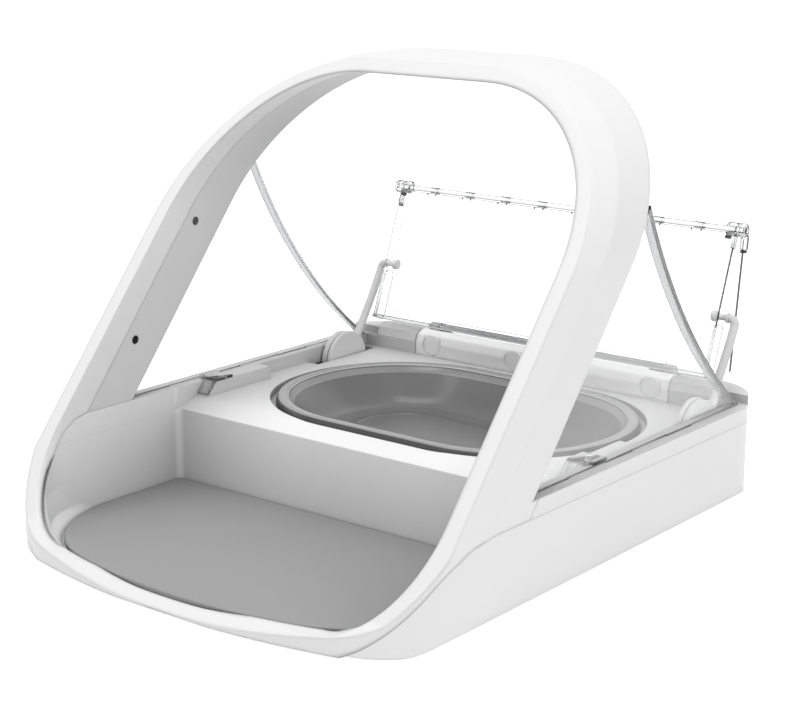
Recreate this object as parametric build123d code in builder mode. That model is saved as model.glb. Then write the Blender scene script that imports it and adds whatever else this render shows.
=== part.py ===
from build123d import *
import math
import os

os.makedirs("parts", exist_ok=True)

# A microchip pet feeder, in millimetres: +Z up, the pet comes from -Y, and the origin
# lies on the floor below the middle of everything, lid included.

# ---------------------------------------------------------------- driving dimensions
# body
body_width = 230.0
front_y = -138.0
rear_y = 133.0
front_arc_rise = 20.2
front_corner_radius = 48.0
rear_corner_radius = 26.0
side_bottom_radius = 15.0
foot_height = 1.5
floor_thickness = 2.0
wall = 2.5
parting_height = 41.0
deck_rise = 1.0
rail_rise = 6.0
deck_thickness = 2.5
rear_rise = 4.0
rear_step_setback = 2.0
inner_lip_depth = 6.0
nest_gap = 0.1

# hood: an arch between two parallel slanting planes
front_slope = 1.215
front_foot_y = -131.4
hood_depth = 42.0
hood_strip_depth = 15.5
lip_depth = 3.0
lip_strip_depth = 5.5
lip_strip_seam = ((-84.0, 46.3), (-90.0, 42.6), (-94.8, 38.0))
lip_strip_start = 34.0
parting_turn = 19.5
hood_rear_round = 5.5
lip_height = 7.2
lip_bottom = 0.8
lip_edge_radius = 1.2
lip_knee_height = 14.0
hood_top = 200.0
hood_corner_width = 85.0
hood_corner_height = 73.0
hood_skin = 2.5
shoulder_depth = 14.0
shoulder_margin = 2.0
shoulder_side = 3.8
shoulder_top = 2.0
hood_band = 11.0
hood_crown = 8.0
opening_corner_width = 71.0
opening_corner_height = 63.0
opening_foot_width = 34.0
opening_foot_height = 40.0

# scoop and mat
scoop_side = 15.5
scoop_front_gap = 5.0
scoop_rear_y = -25.5
scoop_arc_rise = 21.0
scoop_corners = ((5.0, 55.0), (10.0, 38.0), (20.0, 31.0))
scoop_rear_radius = 3.0
scoop_floor = 5.0
scoop_draft = 6.0
scoop_wall = 2.0
mat_thickness = 2.2
mat_clearance = 0.6
bevel_drop = 4.0
bevel_length = 15.7

# bowl and its well
well_side = 25.0
well_front_gap = 1.2
well_rear_gap = 4.0
well_corner_radius = 60.0
well_shelf_depth = 3.3
well_shelf_width = 9.0
well_floor_inset = 24.0
well_floor = 24.0
bowl_clearance = 2.5
bowl_rim_height = 4.2
bowl_rim_inset = 8.5
bowl_floor_thickness = 2.2
bowl_seat_gap = 0.3

# rails, side blocks and clear side screens
rail_width = 11.0
block_width = 7.0
block_length = 43.4
screen_inset = 6.0
screen_thickness = 2.0
screen_top_height = 148.0
screen_foot_gap = 19.0
screen_sagitta = 8.0
screen_flange = 4.0
slot_width = 2.6
slot_length = 20.8
slot_pitch = 47.5
slot_first_y = -43.0
slot_depth = 4.0
clip_y = 3.0
clip_width = 12.0
clip_thickness = 1.6

# rear drive cover and the hinge groove behind it
cover_depth = 7.4
cover_hinge_gap = 3.6
cover_proud = 2.0
cover_round = 5.5
cover_cheek = 24.8
cover_gap = 0.4
plug_radius = 5.3
plug_first = 12.7
plug_end_gap = 9.7
plug_rise = 5.8
plug_recess = 1.6
plug_thickness = 1.5
plug_clearance = 0.15

# lid: two clear shutters on a common rod, shown folded up behind the bowl
rear_hinge_setback = 7.0
rod_lean = 8.5
rod_rise = 68.0
rod_radius = 1.3
pin_clearance = 0.05
shutter_thickness = 2.0
front_shutter_length = 68.2
front_shutter_angle = 249.8
front_shutter_side_gap = 2.0
rear_shutter_side_gap = 1.5
front_plate_offset = 0.5
rear_plate_offset = 1.5
knuckle_radius = 3.2
knuckle_width = 3.6
shutter_gap = 0.4
clip_knuckle_width = 5.0
clip_knuckle_pitch = 21.5
clip_knuckle_count = 8
rear_barrel_end_gap = 8.7
rear_barrel_radius = 2.8
rear_web_length = 5.0
rear_web_thickness = 1.2
knuckle_web_length = 9.0
rear_lug_width = 5.5
rear_lug_radius = 3.0
hinge_pin_reach = 7.0
hinge_pin_radius = 1.5
flange_depth = 6.0
flange_root_depth = 1.2
flange_thickness = 1.8
notch_start = 9.0
notch_end = 43.0

# lift arms
hub_setback = 41.0
hub_sink = 2.0
hub_radius = 14.0
hub_thickness = 2.4
arm_thickness = 3.8
arm_gap = 0.6
arm_pin_along = 39.5
arm_pin_off = 3.2
arm_boss_radius = 4.2
arm_pin_radius = 1.5
arm_knob_radius = 2.6
arm_knob_reach = 7.0
arm_knob_length = 2.6
arm_axle_radius = 3.0
arm_axle_length = 6.6
arm_root_rear = (12.4, -6.0)
arm_root_front = (5.0, 13.0)
arm_bend_rear = (26.0, 24.5)
arm_bend_front = (19.5, 27.0)
pocket_front = 24.0
pocket_rear = 20.0

# drive train
gear_module = 0.8
hub_teeth = 36
hub_toothed_from = -168.0
hub_toothed_to = -27.0
shaft_teeth = 28
pinion_teeth = 12
gear_width = 3.0
shaft_radius = 2.5
shaft_direction = -45.0
wheel_inset = 25.0
motor_radius = 9.0
motor_length = 23.0
motor_shaft_radius = 1.2
seat_gap = 0.3

# power
cell_radius = 13.0
cell_length = 50.0
cell_inset = 23.0
cell_start_y = -20.0
cell_gap = 1.0
contact_thickness = 0.8
door_width = 28.0
door_overhang = 3.0
door_clearance = 0.4

# electronics
board_thickness = 1.6
coil_thickness = 1.5
coil_width = 14.0
coil_setback = 25.0
window_radius = 2.0
window_setback = 23.0
window_heights = (75.0, 123.0)

# buttons on the rear wall
button_radius = 5.0
button_travel = 1.2
button_spacing = 22.0
button_height = 25.0
button_proud = 1.4
button_clearance = 0.3
button_flange_thickness = 1.1
button_flange_width = 1.2
button_board_margin = 5.0

# fixings
foot_radius = 7.0
foot_side = 43.0
foot_front_gap = 51.0
foot_rear_gap = 28.0
screw_front = (49.0, -17.0)
screw_rear = (70.0, 117.5)
screw_head_radius = 2.8
screw_head_height = 1.8
screw_radius = 1.5
screw_length = 12.0
screw_seat_height = 2.2
screw_boss_radius = 3.8

# ------------------------------------------------------------------ worked-out values
half_width = body_width / 2
reach = 400.0
inner_floor = foot_height + floor_thickness
deck_top = parting_height + deck_rise
rail_top = deck_top + rail_rise
rear_top = rail_top + rear_rise
opening_width = body_width - 2 * hood_band
opening_top = hood_top - hood_crown
scoop_width = body_width - 2 * scoop_side
scoop_front_y = front_y + scoop_front_gap
bevel_start_height = deck_top - bevel_drop
deck_front_y = scoop_rear_y + bevel_length
rail_inner_x = half_width - rail_width
block_inner_x = rail_inner_x - block_width
block_rear_y = deck_front_y + block_length
screen_x = half_width - screen_inset
screen_foot_y = rear_y - screen_foot_gap
rear_hinge_y = rear_y - rear_hinge_setback
cover_rear_y = rear_hinge_y - cover_hinge_gap
cover_front_y = cover_rear_y - cover_depth
cover_top = rear_top + cover_proud
cover_end_x = block_inner_x
cover_half_width = cover_end_x - cover_cheek
rear_step_y = cover_front_y + rear_step_setback
plug_places = (plug_first, cover_half_width - plug_end_gap)
plug_height = deck_top + plug_rise
well_width = body_width - 2 * well_side
well_front_y = deck_front_y - well_front_gap
well_rear_y = cover_front_y - well_rear_gap
rear_hinge_z = cover_top
rod_y = rear_hinge_y + rod_lean
rod_z = rear_hinge_z + rod_rise
rear_barrel_half_width = cover_half_width - rear_barrel_end_gap
hub_y = rear_y - hub_setback
hub_z = deck_top - hub_sink
hub_inner_x = block_inner_x
front_shutter_half_width = hub_inner_x - front_shutter_side_gap
rear_shutter_half_width = hub_inner_x - rear_shutter_side_gap
arm_knob_inner_x = hub_inner_x - arm_knob_reach
wheel_x = wheel_inset - hub_inner_x
cell_x = half_width - cell_inset
foot_x = half_width - foot_side
feet = ((foot_x, front_y + foot_front_gap), (foot_x, rear_y - foot_rear_gap))
screws = ((half_width - screw_front[0], screw_front[1]), (half_width - screw_rear[0], screw_rear[1]))
rear_length = math.hypot(rod_lean, rod_rise)
rear_angle = math.degrees(math.atan2(rod_rise, rod_lean))
shaft_distance = gear_module * (hub_teeth + shaft_teeth) / 2
shaft_y = hub_y + shaft_distance * math.cos(math.radians(shaft_direction))
shaft_z = hub_z + shaft_distance * math.sin(math.radians(shaft_direction))
motor_z = inner_floor + seat_gap + motor_radius
motor_distance = gear_module * (shaft_teeth + pinion_teeth) / 2
motor_y = shaft_y - math.sqrt(motor_distance**2 - (shaft_z - motor_z) ** 2)
arm_x = hub_inner_x + hub_thickness
gear_x = arm_x + arm_gap
bowl_floor = well_floor + bowl_seat_gap


def plane_y(height, setback=0.0):
    """Where the slanting front plane, moved back by setback, is at a height."""
    return front_foot_y + setback + height / front_slope


def along(angle):
    """Unit direction in the side view, at an angle above +Y."""
    return math.cos(math.radians(angle)), math.sin(math.radians(angle))


rod_dir = along(front_shutter_angle)
arm_pin_y = rod_y + arm_pin_along * rod_dir[0] - arm_pin_off * rod_dir[1]
arm_pin_z = rod_z + arm_pin_along * rod_dir[1] + arm_pin_off * rod_dir[0]


# ---------------------------------------------------------------------- shared shapes
def plan(height, inset=0.0):
    """Outline of the body seen from above, drawn in from the edge by inset."""
    side = half_width - inset
    shoulder = front_y + front_arc_rise + inset
    with BuildSketch(Plane.XY.offset(height)) as outline:
        with BuildLine():
            Polyline((side, shoulder), (side, rear_y - inset), (-side, rear_y - inset), (-side, shoulder))
            ThreePointArc((-side, shoulder), (0, front_y + inset), (side, shoulder))
        make_face()
        rows = outline.vertices().group_by(Axis.Y)
        fillet(rows[0], front_corner_radius - inset)
        fillet(outline.vertices().group_by(Axis.Y)[-1], rear_corner_radius - inset)
    return outline.sketch


def envelope(bottom, top, inset=0.0, end_radius=side_bottom_radius):
    """The body's block between two heights, rounded below along its sides and its ends."""
    length = rear_y - front_y - 2 * inset
    with BuildPart() as block:
        extrude(plan(bottom, inset), amount=top - bottom)
        with BuildSketch(Plane.XZ) as front_view:
            with Locations((0, (bottom + reach) / 2)):
                RectangleRounded(body_width - 2 * inset, reach - bottom, side_bottom_radius - inset)
        extrude(front_view.sketch, amount=reach, both=True, mode=Mode.INTERSECT)
        with BuildSketch(Plane.YZ) as side_view:
            with Locations(((front_y + rear_y) / 2, (bottom + reach) / 2)):
                RectangleRounded(length, reach - bottom, end_radius - inset)
        extrude(side_view.sketch, amount=reach, both=True, mode=Mode.INTERSECT)
    return block.part


def side_prism(points, half=reach / 2, middle=0.0):
    """A polygon of the side view, y across and z up, pulled out to both sides."""
    with BuildPart() as prism:
        with BuildSketch(Plane.YZ.offset(middle)):
            with BuildLine():
                Polyline(*points, close=True)
            make_face()
        extrude(amount=half, both=True)
    return prism.part


def slab(setback_front, setback_rear, low, high):
    """Everything between two planes parallel to the hood's front, low to high."""
    return side_prism(
        [
            (plane_y(low, setback_front), low),
            (plane_y(high, setback_front), high),
            (plane_y(high, setback_rear), high),
            (plane_y(low, setback_rear), low),
        ]
    )


def arch_sketch(plane, stretch, width, top, corner_width, corner_height, low, foot_width=0, foot_rise=0):
    """An arch of the front view with elliptical corners, drawn on a plane that stretches heights."""
    side = width / 2
    crown = top * stretch
    spring = (top - corner_height) * stretch
    rise = corner_height * stretch
    base = low * stretch
    curl = foot_rise * stretch
    with BuildSketch(plane) as outline:
        with BuildLine():
            Line((side, base + curl), (side, spring))
            EllipticalCenterArc((side - corner_width, spring), corner_width, rise, 0, arc_size=90)
            Line((side - corner_width, crown), (corner_width - side, crown))
            EllipticalCenterArc((corner_width - side, spring), corner_width, rise, 90, arc_size=90)
            Line((-side, spring), (-side, base + curl))
            if foot_width:
                EllipticalCenterArc((foot_width - side, base + curl), foot_width, curl, 180, arc_size=90)
            Line((foot_width - side, base), (side - foot_width, base))
            if foot_width:
                EllipticalCenterArc((side - foot_width, base + curl), foot_width, curl, 270, arc_size=90)
        make_face()
    return outline.sketch


def arch(*sizes):
    """An arch of the front view, pulled through from front to back."""
    with BuildPart() as prism:
        extrude(arch_sketch(Plane.XZ, 1.0, *sizes), amount=reach, both=True)
    return prism.part


def hood_arch(inset, low):
    """The hood's outer outline as a prism, drawn in by inset."""
    corner = (hood_corner_width - inset, hood_corner_height - inset)
    return arch(body_width - 2 * inset, hood_top - inset, *corner, low)


def opening_arch(outset, low=None):
    """The hood's opening as a prism, grown by outset, with its rounded lower corners or cut off at low."""
    upper = (
        opening_width + 2 * outset,
        opening_top + outset,
        opening_corner_width + outset,
        opening_corner_height + outset,
    )
    if low is None:
        return arch(*upper, lip_height - outset, opening_foot_width, opening_foot_height)
    return arch(*upper, low)


def hood_waste(stations, low):
    """What is cut off outside the hood between stations, each a setback and how far it draws in."""
    stretch = math.hypot(1, 1 / front_slope)
    ends = []
    for setback, side, rise in stations:
        slant = Plane(
            origin=(0, front_foot_y + setback, 0),
            x_dir=(1, 0, 0),
            z_dir=(0, -1, 1 / front_slope),
        )
        ends.append(
            arch_sketch(
                slant,
                stretch,
                body_width - 2 * side,
                hood_top - rise,
                hood_corner_width - side,
                hood_corner_height - rise,
                low,
            ).face()
        )
    with BuildPart() as kept:
        loft(ends, ruled=True)
    with BuildPart() as waste:
        add(slab(stations[0][0], stations[-1][0], low, hood_top + 10))
        add(kept.part, mode=Mode.SUBTRACT)
    return waste.part


def shoulder_waste(low, inset=0.0):
    """The waste in front, so that the hood draws in towards the crease round its front face."""
    stations = []
    for setback in (-shoulder_margin, shoulder_depth + shoulder_margin):
        drawn_in = 1 - setback / shoulder_depth
        stations.append((setback, shoulder_side * drawn_in + inset, shoulder_top * drawn_in + inset))
    return hood_waste(stations, low)


def rear_waste(low, steps=4):
    """The waste behind, so that the hood's outer rear edge is round."""
    stations = []
    for number in range(steps + 1):
        turn = math.radians(90 * number / steps)
        setback = hood_depth - hood_rear_round * (1 - math.sin(turn))
        drawn_in = hood_rear_round * (1 - math.cos(turn))
        stations.append((setback, drawn_in, drawn_in))
    stations[-1] = (hood_depth + 0.1, hood_rear_round, hood_rear_round)
    return hood_waste(stations, low)


def turned(start, corner, end, steps=8):
    """Points of a soft turn in the side view that leaves start towards corner and arrives at end."""
    points = []
    for number in range(steps + 1):
        done = number / steps
        left = 1 - done
        y = left**2 * start[0] + 2 * left * done * corner[0] + done**2 * end[0]
        z = left**2 * start[1] + 2 * left * done * corner[1] + done**2 * end[1]
        points.append((y, z))
    return points


def scoop_corner(height):
    """Radius of the scoop's front corners, which open quickly above the mat, at a height."""
    for (low, wide), (high, tight) in zip(scoop_corners, scoop_corners[1:]):
        if height <= high:
            share = max(0.0, height - low) / (high - low)
            return wide + (tight - wide) * share
    return scoop_corners[-1][1]


def scoop_outline(height, inset=0.0):
    """Outline of the scoop seen from above."""
    side = scoop_width / 2 - inset
    shoulder = scoop_front_y + scoop_arc_rise + inset
    with BuildSketch(Plane.XY.offset(height)) as outline:
        with BuildLine():
            rear = scoop_rear_y - inset
            Polyline((side, shoulder), (side, rear), (-side, rear), (-side, shoulder))
            ThreePointArc((-side, shoulder), (0, scoop_front_y + inset), (side, shoulder))
        make_face()
        fillet(outline.vertices().group_by(Axis.Y)[0], scoop_corner(height) - inset)
        fillet(outline.vertices().group_by(Axis.Y)[-1], scoop_rear_radius)
    return outline.sketch


def scoop_block(outset, low, high):
    """The scoop's space, widening upwards by its draft, grown by outset."""
    spread = math.tan(math.radians(scoop_draft))
    turns = [height for height, radius in scoop_corners if low < height < high]
    sections = []
    for height in (low, *turns, high):
        sections.append(scoop_outline(height, -outset - spread * (height - scoop_floor)).face())
    with BuildPart() as block:
        loft(sections, ruled=True)
    return block.part


def oval(height, inset):
    """The bowl's outline seen from above: flattened in front, rounder at the corners."""
    side = well_width / 2 - inset
    front = well_front_y + inset
    rear = well_rear_y - inset
    corner = well_corner_radius - inset
    with BuildSketch(Plane.XY.offset(height)) as outline:
        with BuildLine():
            Line((side, front + corner), (side, rear - corner))
            CenterArc((side - corner, rear - corner), corner, 0, 90)
            Line((side - corner, rear), (corner - side, rear))
            CenterArc((corner - side, rear - corner), corner, 90, 90)
            Line((-side, rear - corner), (-side, front + corner))
            CenterArc((corner - side, front + corner), corner, 180, 90)
            Line((corner - side, front), (side - corner, front))
            CenterArc((side - corner, front + corner), corner, 270, 90)
        make_face()
    return outline.sketch


def oval_block(low, high, low_inset, high_inset):
    """A block between two of the bowl's outlines."""
    with BuildPart() as block:
        loft([oval(low, low_inset).face(), oval(high, high_inset).face()], ruled=True)
    return block.part


def box(x_low, x_high, y_low, y_high, z_low, z_high):
    """A block between two corners."""
    with BuildPart(mode=Mode.PRIVATE) as block:
        with BuildSketch(Plane.XY.offset(z_low)):
            with Locations(((x_low + x_high) / 2, (y_low + y_high) / 2)):
                Rectangle(x_high - x_low, y_high - y_low)
        extrude(amount=z_high - z_low)
    return block.part


def rod_along_x(x_low, x_high, y, z, radius):
    """A round bar along X."""
    with BuildPart(mode=Mode.PRIVATE) as bar:
        with BuildSketch(Plane.YZ.offset(x_low)):
            with Locations((y, z)):
                Circle(radius)
        extrude(amount=x_high - x_low)
    return bar.part


def shutter_plane(y, z, angle):
    """A plane on a hinge line whose own y axis runs out along the shutter."""
    across, up = along(angle)
    return Plane(origin=(0, y, z), x_dir=(1, 0, 0), z_dir=(0, -up, across))


def plate(base, x_low, x_high, start, end, low, high):
    """A flat block on a shutter's plane, from start to end along it."""
    with BuildPart(mode=Mode.PRIVATE) as block:
        with BuildSketch(base.offset(low)):
            with Locations(((x_low + x_high) / 2, (start + end) / 2)):
                Rectangle(x_high - x_low, end - start)
        extrude(amount=high - low)
    return block.part


def gear(teeth, y, z, x_low, phase, bore=0.0, first=0.0, last=360.0):
    """A spur gear with straight-flanked teeth; first to last is the toothed sector."""
    pitch_radius = gear_module * teeth / 2
    root = pitch_radius - 1.1 * gear_module
    tip = pitch_radius + 0.8 * gear_module
    step = 360 / teeth
    with BuildPart(mode=Mode.PRIVATE) as wheel:
        with BuildSketch(Plane.YZ.offset(x_low)):
            with Locations((y, z)):
                Circle(root)
            for number in range(teeth):
                angle = phase + number * step
                if (angle - first) % 360 <= last - first:
                    with BuildLine():
                        corners = [(root - 0.3, -0.32), (tip, -0.13), (tip, 0.13), (root - 0.3, 0.32)]
                        Polyline(
                            *[
                                (
                                    y + radius * math.cos(math.radians(angle + share * step)),
                                    z + radius * math.sin(math.radians(angle + share * step)),
                                )
                                for radius, share in corners
                            ],
                            close=True,
                        )
                    make_face()
            if bore:
                with Locations((y, z)):
                    Circle(bore, mode=Mode.SUBTRACT)
        extrude(amount=gear_width)
    return wheel.part


def meshed_phase(teeth_a, phase_a, teeth_b, line_angle):
    """The tooth angle of gear b that fits gear a, with b at line_angle from a."""
    return line_angle + 180 + (180 - teeth_a * (phase_a - line_angle)) / teeth_b


def from_hub(offset):
    """A point of the side view, given from the lift arms' axis."""
    return hub_y + offset[0], hub_z + offset[1]


def finish(shape, label):
    """Label a finished piece and write it."""
    shape.label = label
    export_step(shape, f"parts/{label}.step")


# ------------------------------------------------------------------------- lower tub
door_front_y = cell_start_y - door_overhang
door_rear_y = cell_start_y + 2 * cell_length + cell_gap + door_overhang
screw_places = [(side * x, y) for side in (-1, 1) for x, y in screws]
foot_places = [(side * x, y) for side in (-1, 1) for x, y in feet]
parting_corner = (plane_y(parting_height, lip_depth), parting_height)
turn_low = parting_height - parting_turn / math.hypot(1, 1 / front_slope)
parting_line = turned(
    (parting_corner[0] + parting_turn, parting_height),
    parting_corner,
    (plane_y(turn_low, lip_depth), turn_low),
)
front_parting = [*parting_line, (plane_y(0, lip_depth), 0), (-reach, 0), (-reach, parting_height)]
screw_pad_top = foot_height + floor_thickness + screw_head_height
with BuildPart() as base_shell:
    add(envelope(foot_height, parting_height))
    add(envelope(inner_floor, parting_height + wall, wall), mode=Mode.SUBTRACT)
    add(side_prism(front_parting), mode=Mode.SUBTRACT)
    for side in (-1, 1):
        low, high = sorted((side * (cell_x - door_width / 2), side * (cell_x + door_width / 2)))
        add(box(low, high, door_front_y, door_rear_y, 0, inner_floor + wall), mode=Mode.SUBTRACT)
    with BuildSketch(Plane.XZ.offset(-rear_y)):
        with GridLocations(button_spacing, 0, 3, 1):
            with Locations((0, button_height)):
                Circle(button_radius + button_clearance)
    extrude(amount=2 * wall, both=True, mode=Mode.SUBTRACT)
    # pads with counterbores for the screws that hold the top moulding down
    with BuildSketch(Plane.XY.offset(foot_height)):
        with Locations(*screw_places):
            Circle(screw_boss_radius)
    extrude(amount=screw_pad_top - foot_height)
    with BuildSketch(Plane.XY.offset(foot_height)):
        with Locations(*screw_places):
            Circle(screw_head_radius + pin_clearance)
    extrude(amount=screw_seat_height, mode=Mode.SUBTRACT)
    with BuildSketch(Plane.XY.offset(foot_height)):
        with Locations(*screw_places):
            Circle(screw_radius + pin_clearance)
    extrude(amount=reach, mode=Mode.SUBTRACT)
finish(base_shell.part, "base_shell")

# ------------------------------------------------------------- top moulding, one piece
cover_profile = [
    (cover_front_y, deck_top),
    (cover_front_y, cover_top - cover_round),
    (cover_front_y + cover_round * 0.3, cover_top - cover_round * 0.3),
    (cover_front_y + cover_round, cover_top),
    (cover_rear_y, cover_top),
    (cover_rear_y, deck_top),
]
lug_x = rear_barrel_half_width + shutter_gap
groove_x = lug_x + rear_lug_width + 1
deck_under = deck_top - deck_thickness
lip_bottom_z = parting_height - inner_lip_depth
behind_hood = [
    (plane_y(parting_height, hood_depth), parting_height),
    (plane_y(rail_top, hood_depth), rail_top),
    (plane_y(rail_top, hood_depth), reach),
    (-reach, reach),
    (-reach, parting_height),
]
seam = [
    (plane_y(0, lip_strip_depth), 0),
    (plane_y(lip_strip_start, lip_strip_depth), lip_strip_start),
    *reversed(lip_strip_seam),
    (plane_y(rail_top, hood_strip_depth), rail_top),
    (reach, rail_top),
    (reach, 0),
]
with BuildPart() as scoop_tub:
    add(scoop_block(scoop_wall, inner_floor + nest_gap, rail_top))
    add(side_prism(seam), mode=Mode.INTERSECT)
    add(envelope(inner_floor - 1, rail_top, wall + nest_gap), mode=Mode.INTERSECT)

with BuildPart() as hollow:
    add(envelope(inner_floor, lip_bottom_z, wall))
    add(envelope(inner_floor, deck_under, wall + scoop_wall))
    add(scoop_tub.part, mode=Mode.SUBTRACT)
    add(oval_block(well_floor - 2, deck_under, well_floor_inset - 3, -2.5), mode=Mode.SUBTRACT)
    add(
        side_prism(
            [
                (scoop_rear_y, bevel_start_height - 12),
                (scoop_rear_y, deck_top),
                (deck_front_y, deck_top),
                (deck_front_y, bevel_start_height - 3),
                (scoop_rear_y + 8, bevel_start_height - 3),
            ]
        ),
        mode=Mode.SUBTRACT,
    )
    with BuildSketch(Plane.XY.offset(inner_floor)):
        with Locations(*screw_places):
            Circle(screw_boss_radius)
    extrude(amount=reach, mode=Mode.SUBTRACT)

with BuildPart() as top_deck:
    extrude(plan(parting_height), amount=rear_top - parting_height)
    add(box(-half_width, half_width, -reach, rear_step_y, rail_top, reach), mode=Mode.SUBTRACT)
    add(envelope(inner_floor, parting_height, wall + nest_gap))
    add(side_prism(behind_hood), mode=Mode.SUBTRACT)
    add(side_prism(front_parting), mode=Mode.SUBTRACT)
    add(scoop_tub.part)
    add(hollow.part, mode=Mode.SUBTRACT)
    # the deck between the rails, the wider trough behind the side blocks, and the bevel
    groove_front_y = cover_rear_y + cover_gap
    add(box(-block_inner_x, block_inner_x, deck_front_y, groove_front_y, deck_top, reach), mode=Mode.SUBTRACT)
    add(box(-rail_inner_x, rail_inner_x, block_rear_y, cover_front_y, deck_top, reach), mode=Mode.SUBTRACT)
    block_front_y = deck_front_y + rail_top - deck_top
    bevel = [
        (scoop_rear_y + 2, bevel_start_height),
        (deck_front_y, deck_top),
        (block_front_y, rail_top),
        (block_front_y, reach),
        (-reach, reach),
        (-reach, bevel_start_height),
    ]
    add(side_prism(bevel, rail_inner_x - 1), mode=Mode.SUBTRACT)
    add(scoop_block(0, scoop_floor, rail_top + 2), mode=Mode.SUBTRACT)
    # the bowl's well with the shelf that carries its rim
    shelf_height = deck_top - well_shelf_depth
    add(oval_block(shelf_height, deck_top + 1, 0, 0), mode=Mode.SUBTRACT)
    add(oval_block(well_floor, shelf_height, well_floor_inset, well_shelf_width), mode=Mode.SUBTRACT)
    # screw bosses stand on the pads below
    with BuildSketch(Plane.XY.offset(inner_floor)):
        with Locations(*screw_places):
            Circle(screw_boss_radius + 1)
    extrude(amount=screw_pad_top - inner_floor, mode=Mode.SUBTRACT)
    with BuildSketch(Plane.XY.offset(screw_pad_top)):
        with Locations(*screw_places):
            Circle(screw_radius)
    extrude(amount=screw_length, mode=Mode.SUBTRACT)
    # groove and lugs of the rear hinge, and the ends of the drive cover
    add(box(-groove_x, groove_x, cover_rear_y, rear_y - wall, rail_top, reach), mode=Mode.SUBTRACT)
    for side in (-1, 1):
        low, high = sorted((side * (cover_half_width + cover_gap), side * cover_end_x))
        add(side_prism(cover_profile, (high - low) / 2, (high + low) / 2))
        low, high = sorted((side * lug_x, side * (lug_x + rear_lug_width)))
        lug_span = (rear_hinge_y - rear_lug_radius, rear_hinge_y + rear_lug_radius)
        add(box(low, high, *lug_span, rail_top - 1, rear_hinge_z))
        add(rod_along_x(low, high, rear_hinge_y, rear_hinge_z, rear_lug_radius))
        add(rod_along_x(low, high, rear_hinge_y, rear_hinge_z, hinge_pin_radius), mode=Mode.SUBTRACT)
        # slot for the hub, its bearing, and the rib that carries the cross shaft
        low, high = sorted((side * (hub_inner_x - 0.6), side * rail_inner_x))
        add(box(low, high, hub_y - pocket_front, hub_y + pocket_rear, 0, rail_top), mode=Mode.SUBTRACT)
        low, high = sorted((side * rail_inner_x, side * (rail_inner_x + wall)))
        add(box(low, high, hub_y - 8, shaft_y + 8, shaft_z - 7, rail_top - 1))
        low, high = sorted((side * rail_inner_x, side * (rail_inner_x + arm_axle_length)))
        add(rod_along_x(low, high, hub_y, hub_z, arm_axle_radius + wall))
        add(rod_along_x(low, high, hub_y, hub_z, arm_axle_radius + pin_clearance), mode=Mode.SUBTRACT)
        add(rod_along_x(low, high, shaft_y, shaft_z, shaft_radius + pin_clearance), mode=Mode.SUBTRACT)
        # slots for the side screen's tongues
        for number in range(3):
            slot_y = slot_first_y + number * slot_pitch
            low = side * screen_x - slot_width / 2
            add(
                box(low, low + slot_width, slot_y, slot_y + slot_length, rail_top - slot_depth, rail_top),
                mode=Mode.SUBTRACT,
            )
finish(top_deck.part, "top_deck")

# --------------------------------------------------------------------------- hood
knee_y = plane_y(lip_knee_height)
hood_side = [
    (front_y, lip_bottom),
    (front_y, 2 * lip_bottom),
    (knee_y, lip_knee_height),
    (plane_y(hood_top + 5), hood_top + 5),
    (plane_y(hood_top + 5, hood_depth), hood_top + 5),
    (plane_y(parting_height, hood_depth), parting_height),
    *parting_line,
    (plane_y(lip_bottom, lip_depth), lip_bottom),
]
skin_setback = hood_skin * math.hypot(1, 1 / front_slope)
# hollow behind the front band, open behind the inner strip
with BuildPart() as hood_room:
    add(hood_arch(hood_skin, turn_low - 5))
    add(slab(skin_setback, hood_depth + 5, turn_low - 5, hood_top), mode=Mode.INTERSECT)
    add(envelope(inner_floor, hood_top + 5, hood_skin), mode=Mode.INTERSECT)
    add(shoulder_waste(lip_knee_height, hood_skin), mode=Mode.SUBTRACT)
    add(opening_arch(hood_skin, 0), mode=Mode.SUBTRACT)

with BuildPart() as liner_room:
    add(hood_arch(hood_skin, parting_height - 5))
    add(slab(hood_strip_depth, hood_depth + 5, parting_height - 5, hood_top), mode=Mode.INTERSECT)

with BuildPart() as hood_outer:
    add(envelope(lip_bottom, hood_top + 5, 0, lip_edge_radius))
    add(hood_arch(0, -1), mode=Mode.INTERSECT)
    add(side_prism(hood_side), mode=Mode.INTERSECT)
    add(shoulder_waste(lip_knee_height), mode=Mode.SUBTRACT)
    add(opening_arch(0), mode=Mode.SUBTRACT)
    add(scoop_block(0, scoop_floor, parting_height), mode=Mode.SUBTRACT)
    add(hood_room.part, mode=Mode.SUBTRACT)
    add(liner_room.part, mode=Mode.SUBTRACT)
    add(rear_waste(rail_top), mode=Mode.SUBTRACT)
    add(scoop_tub.part, mode=Mode.SUBTRACT)
finish(hood_outer.part, "hood_outer")

window_x = opening_width / 2
with BuildPart() as liner_hollow:
    add(hood_arch(0, rail_top - 1))
    add(slab(0, hood_depth - skin_setback, rail_top - 1, hood_top), mode=Mode.INTERSECT)
    add(opening_arch(hood_skin, 0), mode=Mode.SUBTRACT)

with BuildPart() as hood_liner:
    add(hood_arch(hood_skin, rail_top))
    add(slab(hood_strip_depth, hood_depth, rail_top, hood_top), mode=Mode.INTERSECT)
    add(opening_arch(0, 0), mode=Mode.SUBTRACT)
    add(liner_hollow.part, mode=Mode.SUBTRACT)
    add(rear_waste(rail_top - 1), mode=Mode.SUBTRACT)
    for height in window_heights:
        y = plane_y(height, window_setback)
        add(rod_along_x(-half_width, half_width, y, height, window_radius), mode=Mode.SUBTRACT)
finish(hood_liner.part, "hood_liner")

with BuildPart() as ir_windows:
    for side in (-1, 1):
        for height in window_heights:
            y = plane_y(height, window_setback)
            low, high = sorted((side * (window_x + 0.3), side * (window_x + hood_skin)))
            add(rod_along_x(low, high, y, height, window_radius))
finish(ir_windows.part, "ir_windows")

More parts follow.
